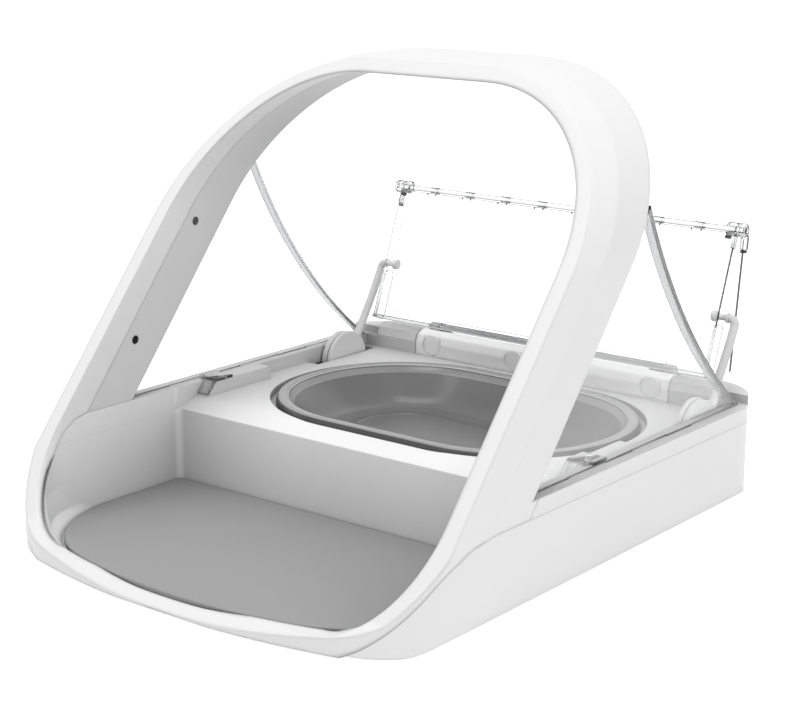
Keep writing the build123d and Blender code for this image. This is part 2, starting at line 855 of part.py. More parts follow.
for side, name in ((-1, "left"), (1, "right")):
    low, high = sorted((side * (window_x + hood_skin), side * (window_x + hood_skin + board_thickness)))
    board_low = window_heights[0] - 8
    board_high = window_heights[1] + 8
    with BuildPart() as ir_board:
        add(slab(window_setback - 5, window_setback + 5, board_low, board_high))
        add(box(low, high, -reach, reach, board_low, board_high), mode=Mode.INTERSECT)
    finish(ir_board.part, f"ir_board_{name}")

coil_inner = hood_skin + seat_gap
with BuildPart() as antenna_coil:
    add(hood_arch(coil_inner, rail_top + 2))
    coil_front = coil_setback - coil_width / 2
    add(slab(coil_front, coil_front + coil_width, rail_top + 2, hood_top), mode=Mode.INTERSECT)
    add(hood_arch(coil_inner + coil_thickness, 0), mode=Mode.SUBTRACT)
finish(antenna_coil.part, "antenna_coil")

# ------------------------------------------------------------------- side screens
screen_front_low = (plane_y(rail_top, hood_depth + seat_gap), rail_top)
screen_front_high = (plane_y(screen_top_height, hood_depth + seat_gap), screen_top_height)
for side, name in ((-1, "left"), (1, "right")):
    outer_x = side * screen_x + screen_thickness / 2
    with BuildPart() as screen:
        with BuildSketch(Plane.YZ.offset(outer_x - screen_thickness)):
            with BuildLine():
                Polyline(screen_front_high, screen_front_low, (screen_foot_y, rail_top))
                SagittaArc((screen_foot_y, rail_top), screen_front_high, screen_sagitta)
            make_face()
        extrude(amount=screen_thickness)
        low = side * screen_x if side < 0 else side * (screen_x - screen_flange - screen_thickness / 2)
        with BuildSketch(Plane.YZ.offset(low)):
            with BuildLine():
                SagittaArc((screen_foot_y, rail_top), screen_front_high, screen_sagitta)
                Line(screen_front_high, (screen_front_high[0] - 1.5, screen_front_high[1] - 1.8))
                inner_top = (screen_front_high[0] - 1.5, screen_front_high[1] - 1.8)
                SagittaArc((screen_foot_y - 2.4, rail_top), inner_top, screen_sagitta)
                Line((screen_foot_y - 2.4, rail_top), (screen_foot_y, rail_top))
            make_face()
        extrude(amount=screen_flange + screen_thickness / 2)
        for number in range(3):
            tongue_y = slot_first_y + number * slot_pitch + 0.5
            tongue_low = side * screen_x - screen_thickness / 2
            add(
                box(
                    tongue_low,
                    tongue_low + screen_thickness,
                    tongue_y,
                    tongue_y + slot_length - 1,
                    rail_top - slot_depth + 0.3,
                    rail_top + 1,
                )
            )
        clip_low = clip_y - clip_width / 2
        clip_high = clip_y + clip_width / 2
        clip_edge = block_inner_x - 0.1
        low, high = sorted((side * (clip_edge - clip_thickness), side * screen_x))
        add(box(low, high, clip_low, clip_high, rail_top + 0.1, rail_top + 0.1 + clip_thickness))
        low, high = sorted((side * (clip_edge - clip_thickness), side * clip_edge))
        add(box(low, high, clip_low, clip_high, deck_top + 1, rail_top + 0.2))
    finish(screen.part, f"side_screen_{name}")

# --------------------------------------------------------------------- drive cover
plug_centres = [(side * x, plug_height) for side in (-1, 1) for x in plug_places]
with BuildPart() as drive_cover:
    add(side_prism(cover_profile, cover_half_width))
    cover_inside = []
    for y, z in cover_profile:
        inward = wall if y < cover_rear_y else -wall
        cover_inside.append((y + inward, z - (wall if z > deck_top else 1)))
    add(side_prism(cover_inside, cover_half_width - wall), mode=Mode.SUBTRACT)
    with BuildSketch(Plane.XZ.offset(-cover_front_y)):
        with Locations(*plug_centres):
            Circle(plug_radius)
    extrude(amount=-plug_recess, mode=Mode.SUBTRACT)
finish(drive_cover.part, "drive_cover")

with BuildPart() as cover_plugs:
    with BuildSketch(Plane.XZ.offset(-cover_front_y)):
        with Locations(*plug_centres):
            Circle(plug_radius - plug_clearance)
    extrude(amount=-plug_thickness)
finish(cover_plugs.part, "cover_plugs")

# ---------------------------------------------------------------------------- lid
rear_plane = shutter_plane(rear_hinge_y, rear_hinge_z, rear_angle)
front_plane = shutter_plane(rod_y, rod_z, front_shutter_angle)
knuckle_start = front_shutter_half_width + shutter_gap
rear_plate_low = -rear_plate_offset - shutter_thickness
clear_of_axis = knuckle_radius + 0.4
with BuildPart() as rear_shutter:
    add(
        plate(
            rear_plane,
            -rear_shutter_half_width,
            rear_shutter_half_width,
            clear_of_axis,
            rear_length - clear_of_axis,
            rear_plate_low,
            -rear_plate_offset,
        )
    )
    half = rear_barrel_half_width
    web_low = rear_plate_low + shutter_thickness - rear_web_thickness
    add(rod_along_x(-half, half, rear_hinge_y, rear_hinge_z, rear_barrel_radius))
    add(plate(rear_plane, -half, half, 0, rear_web_length, web_low, -rear_plate_offset))
    for side in (-1, 1):
        low, high = sorted((side * knuckle_start, side * (knuckle_start + knuckle_width)))
        web_start = rear_length - knuckle_web_length
        add(plate(rear_plane, low, high, web_start, rear_length, rear_plate_low, -rear_plate_offset))
        add(rod_along_x(low, high, rod_y, rod_z, knuckle_radius))
        low, high = sorted((side * (rear_shutter_half_width - 6), side * (knuckle_start + knuckle_width)))
        web = (web_start, rear_length - clear_of_axis)
        add(plate(rear_plane, low, high, *web, rear_plate_low, -rear_plate_offset))
    pin_hole = hinge_pin_radius + pin_clearance
    add(rod_along_x(-reach, reach, rear_hinge_y, rear_hinge_z, pin_hole), mode=Mode.SUBTRACT)
    add(rod_along_x(-reach, reach, rod_y, rod_z, rod_radius), mode=Mode.SUBTRACT)
finish(rear_shutter.part, "rear_shutter")

rod_end = knuckle_start + knuckle_width + 0.3
with BuildPart() as shutter_rod:
    add(rod_along_x(-rod_end, rod_end, rod_y, rod_z, rod_radius))
finish(shutter_rod.part, "shutter_rod")

with BuildPart() as rear_hinge_pins:
    for side in (-1, 1):
        pin_start = rear_barrel_half_width - hinge_pin_reach
        low, high = sorted((side * pin_start, side * (lug_x + rear_lug_width)))
        add(rod_along_x(low, high, rear_hinge_y, rear_hinge_z, hinge_pin_radius))
finish(rear_hinge_pins.part, "rear_hinge_pins")

front_plate_low = -front_plate_offset - shutter_thickness
with BuildPart() as front_shutter:
    add(
        plate(
            front_plane,
            -front_shutter_half_width,
            front_shutter_half_width,
            rod_radius + 0.6,
            front_shutter_length,
            front_plate_low,
            -front_plate_offset,
        )
    )
    add(
        plate(
            front_plane,
            -front_shutter_half_width,
            front_shutter_half_width,
            front_shutter_length - shutter_thickness,
            front_shutter_length,
            front_plate_low - 0.8,
            -front_plate_offset + 0.8,
        )
    )
    for side in (-1, 1):
        edge = side * front_shutter_half_width
        low, high = sorted((edge, edge - side * clip_knuckle_width))
        add(rod_along_x(low, high, rod_y, rod_z, knuckle_radius))
        low, high = sorted((edge, edge - side * flange_thickness))
        add(plate(front_plane, low, high, 2, notch_start, front_plate_low, flange_root_depth))
        add(plate(front_plane, low, high, notch_end, front_shutter_length, front_plate_low, flange_depth))
    for number in range(clip_knuckle_count):
        middle = (number - (clip_knuckle_count - 1) / 2) * clip_knuckle_pitch
        half = clip_knuckle_width / 2
        add(rod_along_x(middle - half, middle + half, rod_y, rod_z, rod_radius + 1.2))
    add(rod_along_x(-reach, reach, rod_y, rod_z, rod_radius + pin_clearance), mode=Mode.SUBTRACT)
finish(front_shutter.part, "front_shutter")

# ----------------------------------------------------------------------- lift arms
hub_phase = shaft_direction
shaft_phase = meshed_phase(hub_teeth, hub_phase, shaft_teeth, shaft_direction)
motor_line = math.degrees(math.atan2(motor_z - shaft_z, motor_y - shaft_y))
pinion_phase = meshed_phase(shaft_teeth, shaft_phase, pinion_teeth, motor_line)
for side, name in ((-1, "left"), (1, "right")):
    with BuildPart() as lift_arm:
        low, high = sorted((side * hub_inner_x, side * arm_x))
        add(rod_along_x(low, high, hub_y, hub_z, hub_radius))
        low, high = sorted((side * arm_x, side * (arm_x + arm_thickness)))
        with BuildSketch(Plane.YZ.offset(low)):
            with BuildLine():
                root_rear = from_hub(arm_root_rear)
                root_front = from_hub(arm_root_front)
                tip_rear = (arm_pin_y + arm_boss_radius * 0.92, arm_pin_z - arm_boss_radius * 0.4)
                tip_front = (arm_pin_y - arm_boss_radius * 0.92, arm_pin_z + arm_boss_radius * 0.4)
                Line(root_front, root_rear)
                ThreePointArc(root_rear, from_hub(arm_bend_rear), tip_rear)
                Line(tip_rear, tip_front)
                ThreePointArc(tip_front, from_hub(arm_bend_front), root_front)
            make_face()
            with Locations((arm_pin_y, arm_pin_z)):
                Circle(arm_boss_radius)
            with Locations((hub_y, hub_z)):
                Circle(gear_module * (hub_teeth / 2 - 1.1))
        extrude(amount=high - low)
        toothed_low = side * gear_x if side > 0 else side * gear_x - gear_width
        add(gear(hub_teeth, hub_y, hub_z, toothed_low, hub_phase, 0, hub_toothed_from, hub_toothed_to))
        low, high = sorted((side * (arm_x + arm_thickness - 0.5), side * (rail_inner_x + arm_axle_length)))
        add(rod_along_x(low, high, hub_y, hub_z, arm_axle_radius))
        low, high = sorted((side * arm_knob_inner_x, side * (arm_x + 1)))
        add(rod_along_x(low, high, arm_pin_y, arm_pin_z, arm_pin_radius))
        low, high = sorted((side * arm_knob_inner_x, side * (arm_knob_inner_x + arm_knob_length)))
        add(rod_along_x(low, high, arm_pin_y, arm_pin_z, arm_knob_radius))
        low, high = sorted((side * (arm_x - arm_knob_length), side * (arm_x + 1)))
        add(rod_along_x(low, high, arm_pin_y, arm_pin_z, arm_knob_radius))
    finish(lift_arm.part, f"lift_arm_{name}")

with BuildPart() as cross_shaft:
    end = rail_inner_x + wall
    add(rod_along_x(-end, end, shaft_y, shaft_z, shaft_radius))
    for side in (-1, 1):
        low = side * gear_x if side > 0 else side * gear_x - gear_width
        add(gear(shaft_teeth, shaft_y, shaft_z, low, shaft_phase))
    add(gear(shaft_teeth, shaft_y, shaft_z, wheel_x - gear_width / 2, shaft_phase))
finish(cross_shaft.part, "cross_shaft")

motor_face = wheel_x - gear_width / 2 - 2
with BuildPart() as motor:
    add(rod_along_x(motor_face - motor_length, motor_face, motor_y, motor_z, motor_radius))
    shaft_room = motor_shaft_radius + pin_clearance
    add(rod_along_x(motor_face - 8, motor_face, motor_y, motor_z, shaft_room), mode=Mode.SUBTRACT)
finish(motor.part, "motor")

with BuildPart() as motor_pinion:
    add(gear(pinion_teeth, motor_y, motor_z, wheel_x - gear_width / 2, pinion_phase))
    add(rod_along_x(motor_face - 7.5, wheel_x, motor_y, motor_z, motor_shaft_radius))
finish(motor_pinion.part, "motor_pinion")

# ------------------------------------------------------------------ bowl and mat
bowl_top = deck_top - well_shelf_depth + bowl_seat_gap + bowl_rim_height
bowl_under = deck_top - well_shelf_depth + bowl_seat_gap
with BuildPart() as bowl:
    add(oval_block(bowl_floor, bowl_under, well_floor_inset + 0.8, well_shelf_width + 0.8))
    add(oval_block(bowl_under, bowl_top, bowl_clearance, bowl_clearance + 1))
    fillet(bowl.edges().group_by(Axis.Z)[-1], 1.2)
    add(
        oval_block(
            bowl_floor + bowl_floor_thickness, bowl_top + 0.5, well_floor_inset + 2.0, bowl_rim_inset
        ),
        mode=Mode.SUBTRACT,
    )
finish(bowl.part, "bowl")

with BuildPart() as mat:
    extrude(scoop_outline(scoop_floor, mat_clearance), amount=mat_thickness)
finish(mat.part, "mat")

# ------------------------------------------------------------------ power
for side, name in ((-1, "left"), (1, "right")):
    for number, place in enumerate(("front", "rear")):
        start = cell_start_y + number * (cell_length + cell_gap)
        with BuildPart() as cell:
            with BuildSketch(Plane.XZ.offset(-start)):
                with Locations((side * cell_x, inner_floor + seat_gap + cell_radius)):
                    Circle(cell_radius)
            extrude(amount=-(cell_length - 1.5))
            with BuildSketch(Plane.XZ.offset(-start - cell_length + 1.5)):
                with Locations((side * cell_x, inner_floor + seat_gap + cell_radius)):
                    Circle(cell_radius / 3)
            extrude(amount=-1.5)
        finish(cell.part, f"cell_{name}_{place}")
    with BuildPart() as door:
        half = door_width / 2 - door_clearance
        middle = side * cell_x
        door_span = (door_front_y + door_clearance, door_rear_y - door_clearance)
        add(envelope(foot_height, parting_height))
        door_box = box(middle - half, middle + half, *door_span, foot_height, inner_floor + wall)
        add(door_box, mode=Mode.INTERSECT)
        add(envelope(inner_floor, parting_height + wall, wall), mode=Mode.SUBTRACT)
        with BuildSketch(Plane.XY.offset(foot_height)):
            with Locations((middle - side * door_width / 4, door_front_y + 12)):
                SlotOverall(door_width / 3, 5)
        extrude(amount=0.8, mode=Mode.SUBTRACT)
    finish(door.part, f"battery_door_{name}")

with BuildPart() as battery_contacts:
    contact_z = inner_floor + seat_gap + cell_radius
    for side in (-1, 1):
        middle = side * cell_x
        for y in (cell_start_y - contact_thickness - 0.2, door_rear_y - door_overhang + 0.2):
            add(box(middle - 8, middle + 8, y, y + contact_thickness, inner_floor, contact_z + 8))
finish(battery_contacts.part, "battery_contacts")

# ----------------------------------------------------------- boards and rear buttons
with BuildPart() as main_board:
    add(box(-50, 50, scoop_rear_y + 14, scoop_rear_y + 14 + board_thickness, inner_floor, 34))
finish(main_board.part, "main_board")

flange_y = rear_y - wall - button_flange_thickness - 0.1
with BuildPart() as button_board:
    board_half = button_spacing + button_radius + button_board_margin
    stem_end = flange_y - button_travel - 0.4
    bend = side_bottom_radius - wall
    overhang = stem_end - (rear_y - wall - bend)
    board_foot = inner_floor + bend - math.sqrt(bend**2 - overhang**2) + seat_gap
    add(box(-board_half, board_half, stem_end - board_thickness, stem_end, board_foot, button_height + 10))
finish(button_board.part, "button_board")

for number, name in enumerate(("food", "learn", "training")):
    with BuildPart() as button:
        x = (number - 1) * button_spacing
        with BuildSketch(Plane.XZ.offset(-flange_y)):
            with Locations((x, button_height)):
                Circle(button_radius + button_flange_width)
        extrude(amount=-button_flange_thickness)
        with BuildSketch(Plane.XZ.offset(-flange_y)):
            with Locations((x, button_height)):
                Circle(button_radius)
        extrude(amount=-(rear_y + button_proud - flange_y))
        fillet(button.edges().group_by(Axis.Y)[-1], 0.8)
    finish(button.part, f"button_{name}")

# ---------------------------------------------------------------------- fixings
with BuildPart() as rubber_feet:
    with BuildSketch(Plane.XY):
        with Locations(*foot_places):
            Circle(foot_radius)
    extrude(amount=foot_height)
finish(rubber_feet.part, "rubber_feet")

with BuildPart() as tub_screws:
    head_top = foot_height + screw_seat_height
    with BuildSketch(Plane.XY.offset(head_top - screw_head_height)):
        with Locations(*screw_places):
            Circle(screw_head_radius)
    extrude(amount=screw_head_height)
    with BuildSketch(Plane.XY.offset(head_top)):
        with Locations(*screw_places):
            Circle(screw_radius - pin_clearance)
    extrude(amount=screw_length)
finish(tub_screws.part, "tub_screws")
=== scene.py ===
import math

import bmesh
import bpy
import numpy as np
from mathutils import Matrix, Vector


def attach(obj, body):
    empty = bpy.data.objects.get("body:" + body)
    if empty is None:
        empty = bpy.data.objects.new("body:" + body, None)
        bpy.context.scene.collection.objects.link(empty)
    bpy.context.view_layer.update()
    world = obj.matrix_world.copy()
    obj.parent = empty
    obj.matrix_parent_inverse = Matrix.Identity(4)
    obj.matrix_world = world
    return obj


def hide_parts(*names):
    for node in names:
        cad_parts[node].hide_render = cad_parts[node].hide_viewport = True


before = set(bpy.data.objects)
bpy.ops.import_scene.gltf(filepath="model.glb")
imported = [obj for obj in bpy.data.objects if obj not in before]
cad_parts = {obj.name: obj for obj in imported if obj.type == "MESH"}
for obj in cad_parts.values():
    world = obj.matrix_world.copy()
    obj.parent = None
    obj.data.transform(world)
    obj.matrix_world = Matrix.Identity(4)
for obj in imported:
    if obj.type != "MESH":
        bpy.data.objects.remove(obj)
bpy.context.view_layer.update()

bl_info = {
    "name": "Microchip pet feeder",
    "version": (1, 0, 0),
    "blender": (4, 5, 0),
    "location": "View3D > Sidebar > Feeder",
    "description": "Builds the feeder's visible pieces and finishes around its packed model",
    "category": "Object",
}

MM = 0.001

# the hood's front plane in the side view: y = FRONT_FOOT + setback + z / FRONT_SLOPE
FRONT_FOOT = -131.4
FRONT_SLOPE = 1.215

# the lid's hinge lines, the arms' axis and their pins, each as y and z, and the shutters' angles above +Y
ROD = (134.5, 122.0)
REAR_HINGE = (126.0, 54.0)
HUB = (92.0, 40.0)
ARM_PIN = (123.86, 83.82)
FRONT_ANGLE = 249.8
REAR_ANGLE = math.degrees(math.atan2(ROD[1] - REAR_HINGE[1], ROD[0] - REAR_HINGE[0]))
ROD_RADIUS = 1.25
KNUCKLE_BORE = 1.5
KNUCKLE_RADIUS = 3.2

# the underside and the upper side of the mat
MAT_LOW = 5.0
MAT_HIGH = 7.2

# the bowl's well seen from above: half its width, its front and rear line and its corner radius
WELL_HALF = 90.0
WELL_FRONT = -11.0
WELL_REAR = 111.0
WELL_CORNER = 60.0

# the numbers of the clear plastic's and of the bowl's finishes; all but the clear sheet and the plain bowl
# have painted light and shade in their colour
SHEET, CUT_RIM_PAINTED_GREY, PAINTED_DARK_RIM, ROUND_PART, PAINTED_FAINT_RIM, FLANGE_PAINTED_GREY = range(6)
BOWL, BOWL_RIM_PAINTED_SHADE, BOWL_LIP_PAINTED_HIGHLIGHT, BOWL_RING_PAINTED_SHADE, BOWL_FLANGE_PAINTED_LIGHT = range(5)

# the tray's and the arms' colour, as shares of the shell's: the same white, painted lighter on the tray for
# the light on its deck and painted darker on the arms for the shade on them
TRAY_PAINTED_LIGHT = 1.09
ARM_PAINTED_SHADE = 0.8

# how far the painted shade in hollows reaches in metres, and the turn from the eye over which round clear
# parts get a painted dark edge
PAINTED_SHADE_REACH = 0.07
PAINTED_EDGE_FROM = 0.16
PAINTED_EDGE_TO = 0.62

# steps round a bar and round a hub, rings over a thin plate's rim, and the angle from which edges are sharp
BAR_STEPS = 40
HUB_STEPS = 64
THIN_RIM_STEPS = 3
SHARP_ANGLE = math.radians(32.0)

# the lamps in metres: where each stands, how wide it is, and where both point
KEY_PLACE, KEY_SIZE = (-0.25, -0.45, 2.2), 1.6
FILL_PLACE, FILL_SIZE = (1.9, -0.3, 0.7), 1.2
LAMP_AIM = (0.0, 0.0, 0.08)

# the camera: yaw, pitch and roll in degrees, the point it looks at and how far that is in metres, and its
# focal length in pixels of a picture of the width below it
CAMERA_ANGLES = (38.3, 14.12, 0.2)
CAMERA_TARGET = (0.0, 0.01087, 0.07497)
CAMERA_DISTANCE = 0.81888
FOCAL_PIXELS = 1889.0
PICTURE_PIXELS = 800.0


# ------------------------------ user settings
def length(name, description, default):
    """A length of the object, shown in the sidebar."""
    return bpy.props.FloatProperty(
        name=name, description=description, default=default, min=0.0, unit="LENGTH", subtype="DISTANCE"
    )


def colour(name, description, default):
    """A colour of a finish, shown in the sidebar."""
    return bpy.props.FloatVectorProperty(
        name=name, description=description, default=default, size=3, min=0.0, max=1.0, subtype="COLOR"
    )


def share(name, description, default, top=1.0):
    """A plain number of a finish or a lamp, shown in the sidebar."""
    return bpy.props.FloatProperty(name=name, description=description, default=default, min=0.0, max=top)


class FeederSizes(bpy.types.PropertyGroup):
    """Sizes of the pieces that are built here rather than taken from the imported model."""

    edge: length("Edge rounding", "Rounding that the light shows on the moulded edges", 0.0009)
    soft_edge: length("Soft edge rounding", "Rounding of the hood's and the drive cover's edges", 0.0026)
    mat_edge: length("Mat edge", "Rounding of the mat's upper edge", 0.0007)


class FeederColours(bpy.types.PropertyGroup):
    """Colours of the feeder's plastics."""

    shell: colour("Shell", "Satin white housing", (0.87, 0.87, 0.87))
    # painted shade: the hood's inside is white made darker for the shade inside the hood
    lining_painted_shade: colour("Lining", "Inside of the hood", (0.74, 0.74, 0.74))
    mat: colour("Mat", "Matt grey mat", (0.35, 0.35, 0.355))
    bowl: colour("Bowl", "Smoky bowl", (0.22, 0.22, 0.22))
    # painted shade and reflection: grey and near-black tones on the clear pieces' edges stand in for how
    # light bends and reflects in them
    clear_edge_painted_grey: colour("Clear edge", "Cut edges of the clear lid and screens", (0.42, 0.425, 0.43))
    clear_edge_painted_dark: colour("Clear dark edge", "Edges of the clear pieces that look dark", (0.05, 0.05, 0.052))


class FeederStudio(bpy.types.PropertyGroup):
    """Light of the studio."""

    sky: share("Sky", "Strength of the even light from all round", 0.53, 10.0)
    key: share("Key lamp", "Power of the large soft lamp above in front, in watts", 26.0, 100.0)
    fill: share("Fill lamp", "Power of the lamp at the right, in watts", 8.4, 100.0)


# ------------------------------ meshes
def grid_faces(rows, columns, wrap_rows=False, wrap_columns=False):
    """Quads between neighbouring points of a grid, closed round where it wraps."""
    row = np.arange(rows if wrap_rows else rows - 1)
    column = np.arange(columns if wrap_columns else columns - 1)
    row, column = (part.ravel() for part in np.meshgrid(row, column, indexing="ij"))
    below = (row + 1) % rows
    beside = (column + 1) % columns
    row, below = row * columns, below * columns
    return np.stack([row + column, row + beside, below + beside, below + column], axis=1).tolist()


def make_piece(name, points, faces, body, slot, finishes, replaced, kinds=None):
    """One closed piece from points in mm: doubles merged, faces turned outwards, smooth but for sharp edges
    and flat caps. kinds gives each face's finish, as its number in finishes."""
    mesh = bpy.data.meshes.new(name)
    mesh.from_pydata((np.asarray(points, float).reshape(-1, 3) * MM).tolist(), [], faces)
    if kinds is not None:
        mesh.polygons.foreach_set("material_index", np.asarray(kinds, np.int32))
    work = bmesh.new()
    work.from_mesh(mesh)
    bmesh.ops.remove_doubles(work, verts=work.verts, dist=2e-6)
    bmesh.ops.dissolve_degenerate(work, edges=work.edges, dist=1e-6)
    bmesh.ops.recalc_face_normals(work, faces=work.faces)
    work.to_mesh(mesh)
    work.free()
    mesh.shade_smooth()
    mesh.set_sharp_from_angle(angle=SHARP_ANGLE)
    corners = np.zeros(len(mesh.polygons), np.int32)
    mesh.polygons.foreach_get("loop_total", corners)
    mesh.polygons.foreach_set("use_smooth", corners <= 4)
    piece = bpy.data.objects.new(name, mesh)
    bpy.context.scene.collection.objects.link(piece)
    for finish in finishes:
        mesh.materials.append(finish)
    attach(piece, body)
    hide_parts(*replaced)


def inward(outline):
    """Unit vectors that point into a closed outline at each of its points, mitred at its corners."""
    before = outline - np.roll(outline, 1, axis=0)
    after = np.roll(outline, -1, axis=0) - outline
    before = before / np.maximum(np.linalg.norm(before, axis=1, keepdims=True), 1e-9)
    after = after / np.maximum(np.linalg.norm(after, axis=1, keepdims=True), 1e-9)
    normals = np.stack([-before[:, 1] - after[:, 1], before[:, 0] + after[:, 0]], axis=1)
    normals = normals / np.maximum(np.linalg.norm(normals, axis=1, keepdims=True), 1e-9)
    cosine = np.clip(np.sum(normals * np.stack([-before[:, 1], before[:, 0]], axis=1), axis=1), 0.35, 1)
    turned = np.sum(outline[:, 0] * np.roll(outline[:, 1], -1) - np.roll(outline[:, 0], -1) * outline[:, 1])
    return normals / cosine[:, None] * np.sign(turned)


def rounded_slab(outline, low, high, edge, steps=4):
    """A plate of the given outline with both rims rounded: at the angle t each ring lies edge * (1 - cos t)
    inside the outline and edge * (1 - sin t) from the face. Its points are (u, v, w), with two caps."""
    outline = np.asarray(outline, float)
    into = inward(outline)
    count = len(outline)
    turn = np.linspace(math.pi / 2, 0, steps)
    insets = np.concatenate([edge * (1 - np.cos(turn)), edge * (1 - np.cos(turn[::-1]))])
    heights = np.concatenate([low + edge * (1 - np.sin(turn)), high - edge * (1 - np.sin(turn[::-1]))])
    rings = outline[None] + into[None] * insets[:, None, None]
    flat = np.broadcast_to(heights[:, None, None], rings.shape[:2] + (1,))
    points = np.concatenate([rings, flat], axis=2).reshape(-1, 3)
    faces = grid_faces(len(heights), count, wrap_columns=True)
    faces.append(list(range(count))[::-1])
    faces.append(list(range((len(heights) - 1) * count, len(heights) * count)))
    return points, faces


def of_kind(part, kind=0):
    """A (points, faces) part whose faces all get one finish, by its number."""
    points, faces = part
    return points, faces, [kind] * len(faces)


def joined(*parts):
    """Several (points, faces, kinds) parts as one."""
    points, faces, kinds, start = [], [], [], 0
    for part_points, part_faces, part_kinds in parts:
        points.append(np.asarray(part_points, float).reshape(-1, 3))
        faces += [[start + index for index in face] for face in part_faces]
        kinds += list(part_kinds)
        start += len(points[-1])
    return np.concatenate(points), faces, kinds


def placed(part, origin, across, along, out):
    """A part drawn in (u, v, w) put in place: origin + u * across + v * along + w * out."""
    axes = np.array([across, along, out], float)
    return (np.asarray(part[0], float) @ axes + np.array(origin, float), *part[1:])


def on_side(part):
    """A part drawn in the side view: u is y, v is z, and w is x."""
    return placed(part, (0, 0, 0), (0, 1, 0), (0, 0, 1), (1, 0, 0))


def on_shutter(part, hinge, angle):
    """A part drawn on a shutter: u along X, v out from its hinge line and w square to it."""
    out, rise = math.cos(math.radians(angle)), math.sin(math.radians(angle))
    return placed(part, (0, *hinge), (1, 0, 0), (0, out, rise), (0, -rise, out))


def beside_shutter(part, hinge, angle):
    """A part drawn in a shutter's side view: u out from its hinge line, v square to it and w along X."""
    out, rise = math.cos(math.radians(angle)), math.sin(math.radians(angle))
    return placed(part, (0, *hinge), (0, out, rise), (0, -rise, out), (1, 0, 0))


def thin_slab(outline, low, high, edge, kind):
    """A thin rounded plate whose faces all get one finish."""
    return of_kind(rounded_slab(outline, low, high, edge, THIN_RIM_STEPS), kind)


def rimmed_slab(outline, low, high, edge, rim):
    """A thin rounded plate, clear sheet on both sides; rim has a finish number for each outline step."""
    points, faces = rounded_slab(outline, low, high, edge, THIN_RIM_STEPS)
    rings = (len(faces) - 2) // len(outline)
    return points, faces, np.tile(rim, rings).tolist() + [SHEET, SHEET]


def clear_plate(outline, low, high, edge, ends=CUT_RIM_PAINTED_GREY):
    """A clear plate with a cut rim, which has the finish number ends where it runs nearly along v."""
    step = np.roll(outline, -1, axis=0) - outline
    upright = np.abs(step[:, 1]) > 4 * np.abs(step[:, 0])
    # painted shade: the rim is painted grey, and where it runs along v it gets the painted tone given as
    # ends
    return rimmed_slab(outline, low, high, edge, np.where(upright, ends, CUT_RIM_PAINTED_GREY))


def rounded_rims(x_low, x_high, radius, edge):
    """The outside of a round bar along X as points (x, r), each end a quarter circle of the radius edge."""
    turn = np.radians(np.linspace(0, 90, 5))
    rim = radius - edge + edge * np.sin(turn)
    left = np.stack([x_low + edge * (1 - np.cos(turn)), rim], axis=1)
    right = np.stack([x_high - edge * (1 - np.cos(turn)), rim], axis=1)[::-1]
    return np.concatenate([left, right])


def turned_about(y, z, profile, steps, ring=False):
    """A profile turned about a line along X: its points (x, r) give rings y + r cos t, z + r sin t."""
    angle = np.linspace(0, 2 * math.pi, steps, endpoint=False)
    x = np.repeat(profile[:, 0], steps)
    reach = np.repeat(profile[:, 1], steps)
    around = np.tile(angle, len(profile))
    points = np.stack([x, y + reach * np.cos(around), z + reach * np.sin(around)], axis=1)
    return points, grid_faces(len(profile), steps, wrap_rows=ring, wrap_columns=True)


def rounded_bar(x_low, x_high, y, z, radius, edge, steps=BAR_STEPS):
    """A solid round bar along X with rounded rims."""
    profile = np.concatenate([[(x_low, 0.0)], rounded_rims(x_low, x_high, radius, edge), [(x_high, 0.0)]])
    return turned_about(y, z, profile, steps)


def sleeve(x_low, x_high, y, z, bore, radius, edge):
    """A round sleeve along X with a straight bore and rounded rims."""
    profile = np.concatenate([[(x_low, bore)], rounded_rims(x_low, x_high, radius, edge), [(x_high, bore)]])
    return turned_about(y, z, profile, BAR_STEPS, ring=True)


def smooth_path(points, steps=8):
    """A smooth line through points: each run is a cubic whose end slopes are half the neighbours' gap."""
    points = np.asarray(points, float)
    ends = np.concatenate([[2 * points[0] - points[1]], points, [2 * points[-1] - points[-2]]])
    t = np.linspace(0, 1, steps, endpoint=False)[None, :, None]
    a, b, c, d = (ends[start : len(ends) - 3 + start, None] for start in range(4))
    line = 0.5 * (2 * b + (c - a) * t + (2 * a - 5 * b + 4 * c - d) * t**2 + (3 * b - a - 3 * c + d) * t**3)
    return np.concatenate([line.reshape(-1, 3), points[-1:]])


def swept_tube(path, radius, steps=20):
    """A closed tube along a path: each ring is path + radius * (cos t * side + sin t * other), with side and
    other square to the path and to each other, and both ends drawn in to a point."""
    path = np.asarray(path, float)
    forward = np.gradient(path, axis=0)
    forward /= np.linalg.norm(forward, axis=1, keepdims=True)
    side = np.zeros_like(path)
    carried = np.array([0.0, forward[0, 2], -forward[0, 1]])
    for number, direction in enumerate(forward):
        carried = carried - direction * carried.dot(direction)
        carried /= np.linalg.norm(carried)
        side[number] = carried
    other = np.cross(forward, side)
    angle = np.linspace(0, 2 * math.pi, steps, endpoint=False)[None, :, None]
    rings = path[:, None] + radius * (np.cos(angle) * side[:, None] + np.sin(angle) * other[:, None])
    first = np.repeat(path[:1, None], steps, axis=1)
    last = np.repeat(path[-1:, None], steps, axis=1)
    points = np.concatenate([first, rings, last])
    return points.reshape(-1, 3), grid_faces(len(points), steps, wrap_columns=True)


def gear_outline(teeth, module, phase, first, last):
    """The outline of a wheel round (0, 0) with teeth from the angle first to last, in degrees. They reach
    0.8 modules out of the pitch circle and 1.1 into it."""
    root = module * teeth / 2 - 1.1 * module
    tip = module * teeth / 2 + 0.8 * module
    step = 360.0 / teeth
    number = np.arange(teeth)
    toothed = (phase + number * step - first) % 360 <= last - first
    flanks = np.array([-0.32, -0.13, 0.13, 0.32])
    angle = np.radians(phase + (number[:, None] + flanks[None]) * step)
    radius = np.where(toothed[:, None], np.array([root, tip, tip, root])[None], root)
    return np.stack([radius * np.cos(angle), radius * np.sin(angle)], axis=2).reshape(-1, 2)


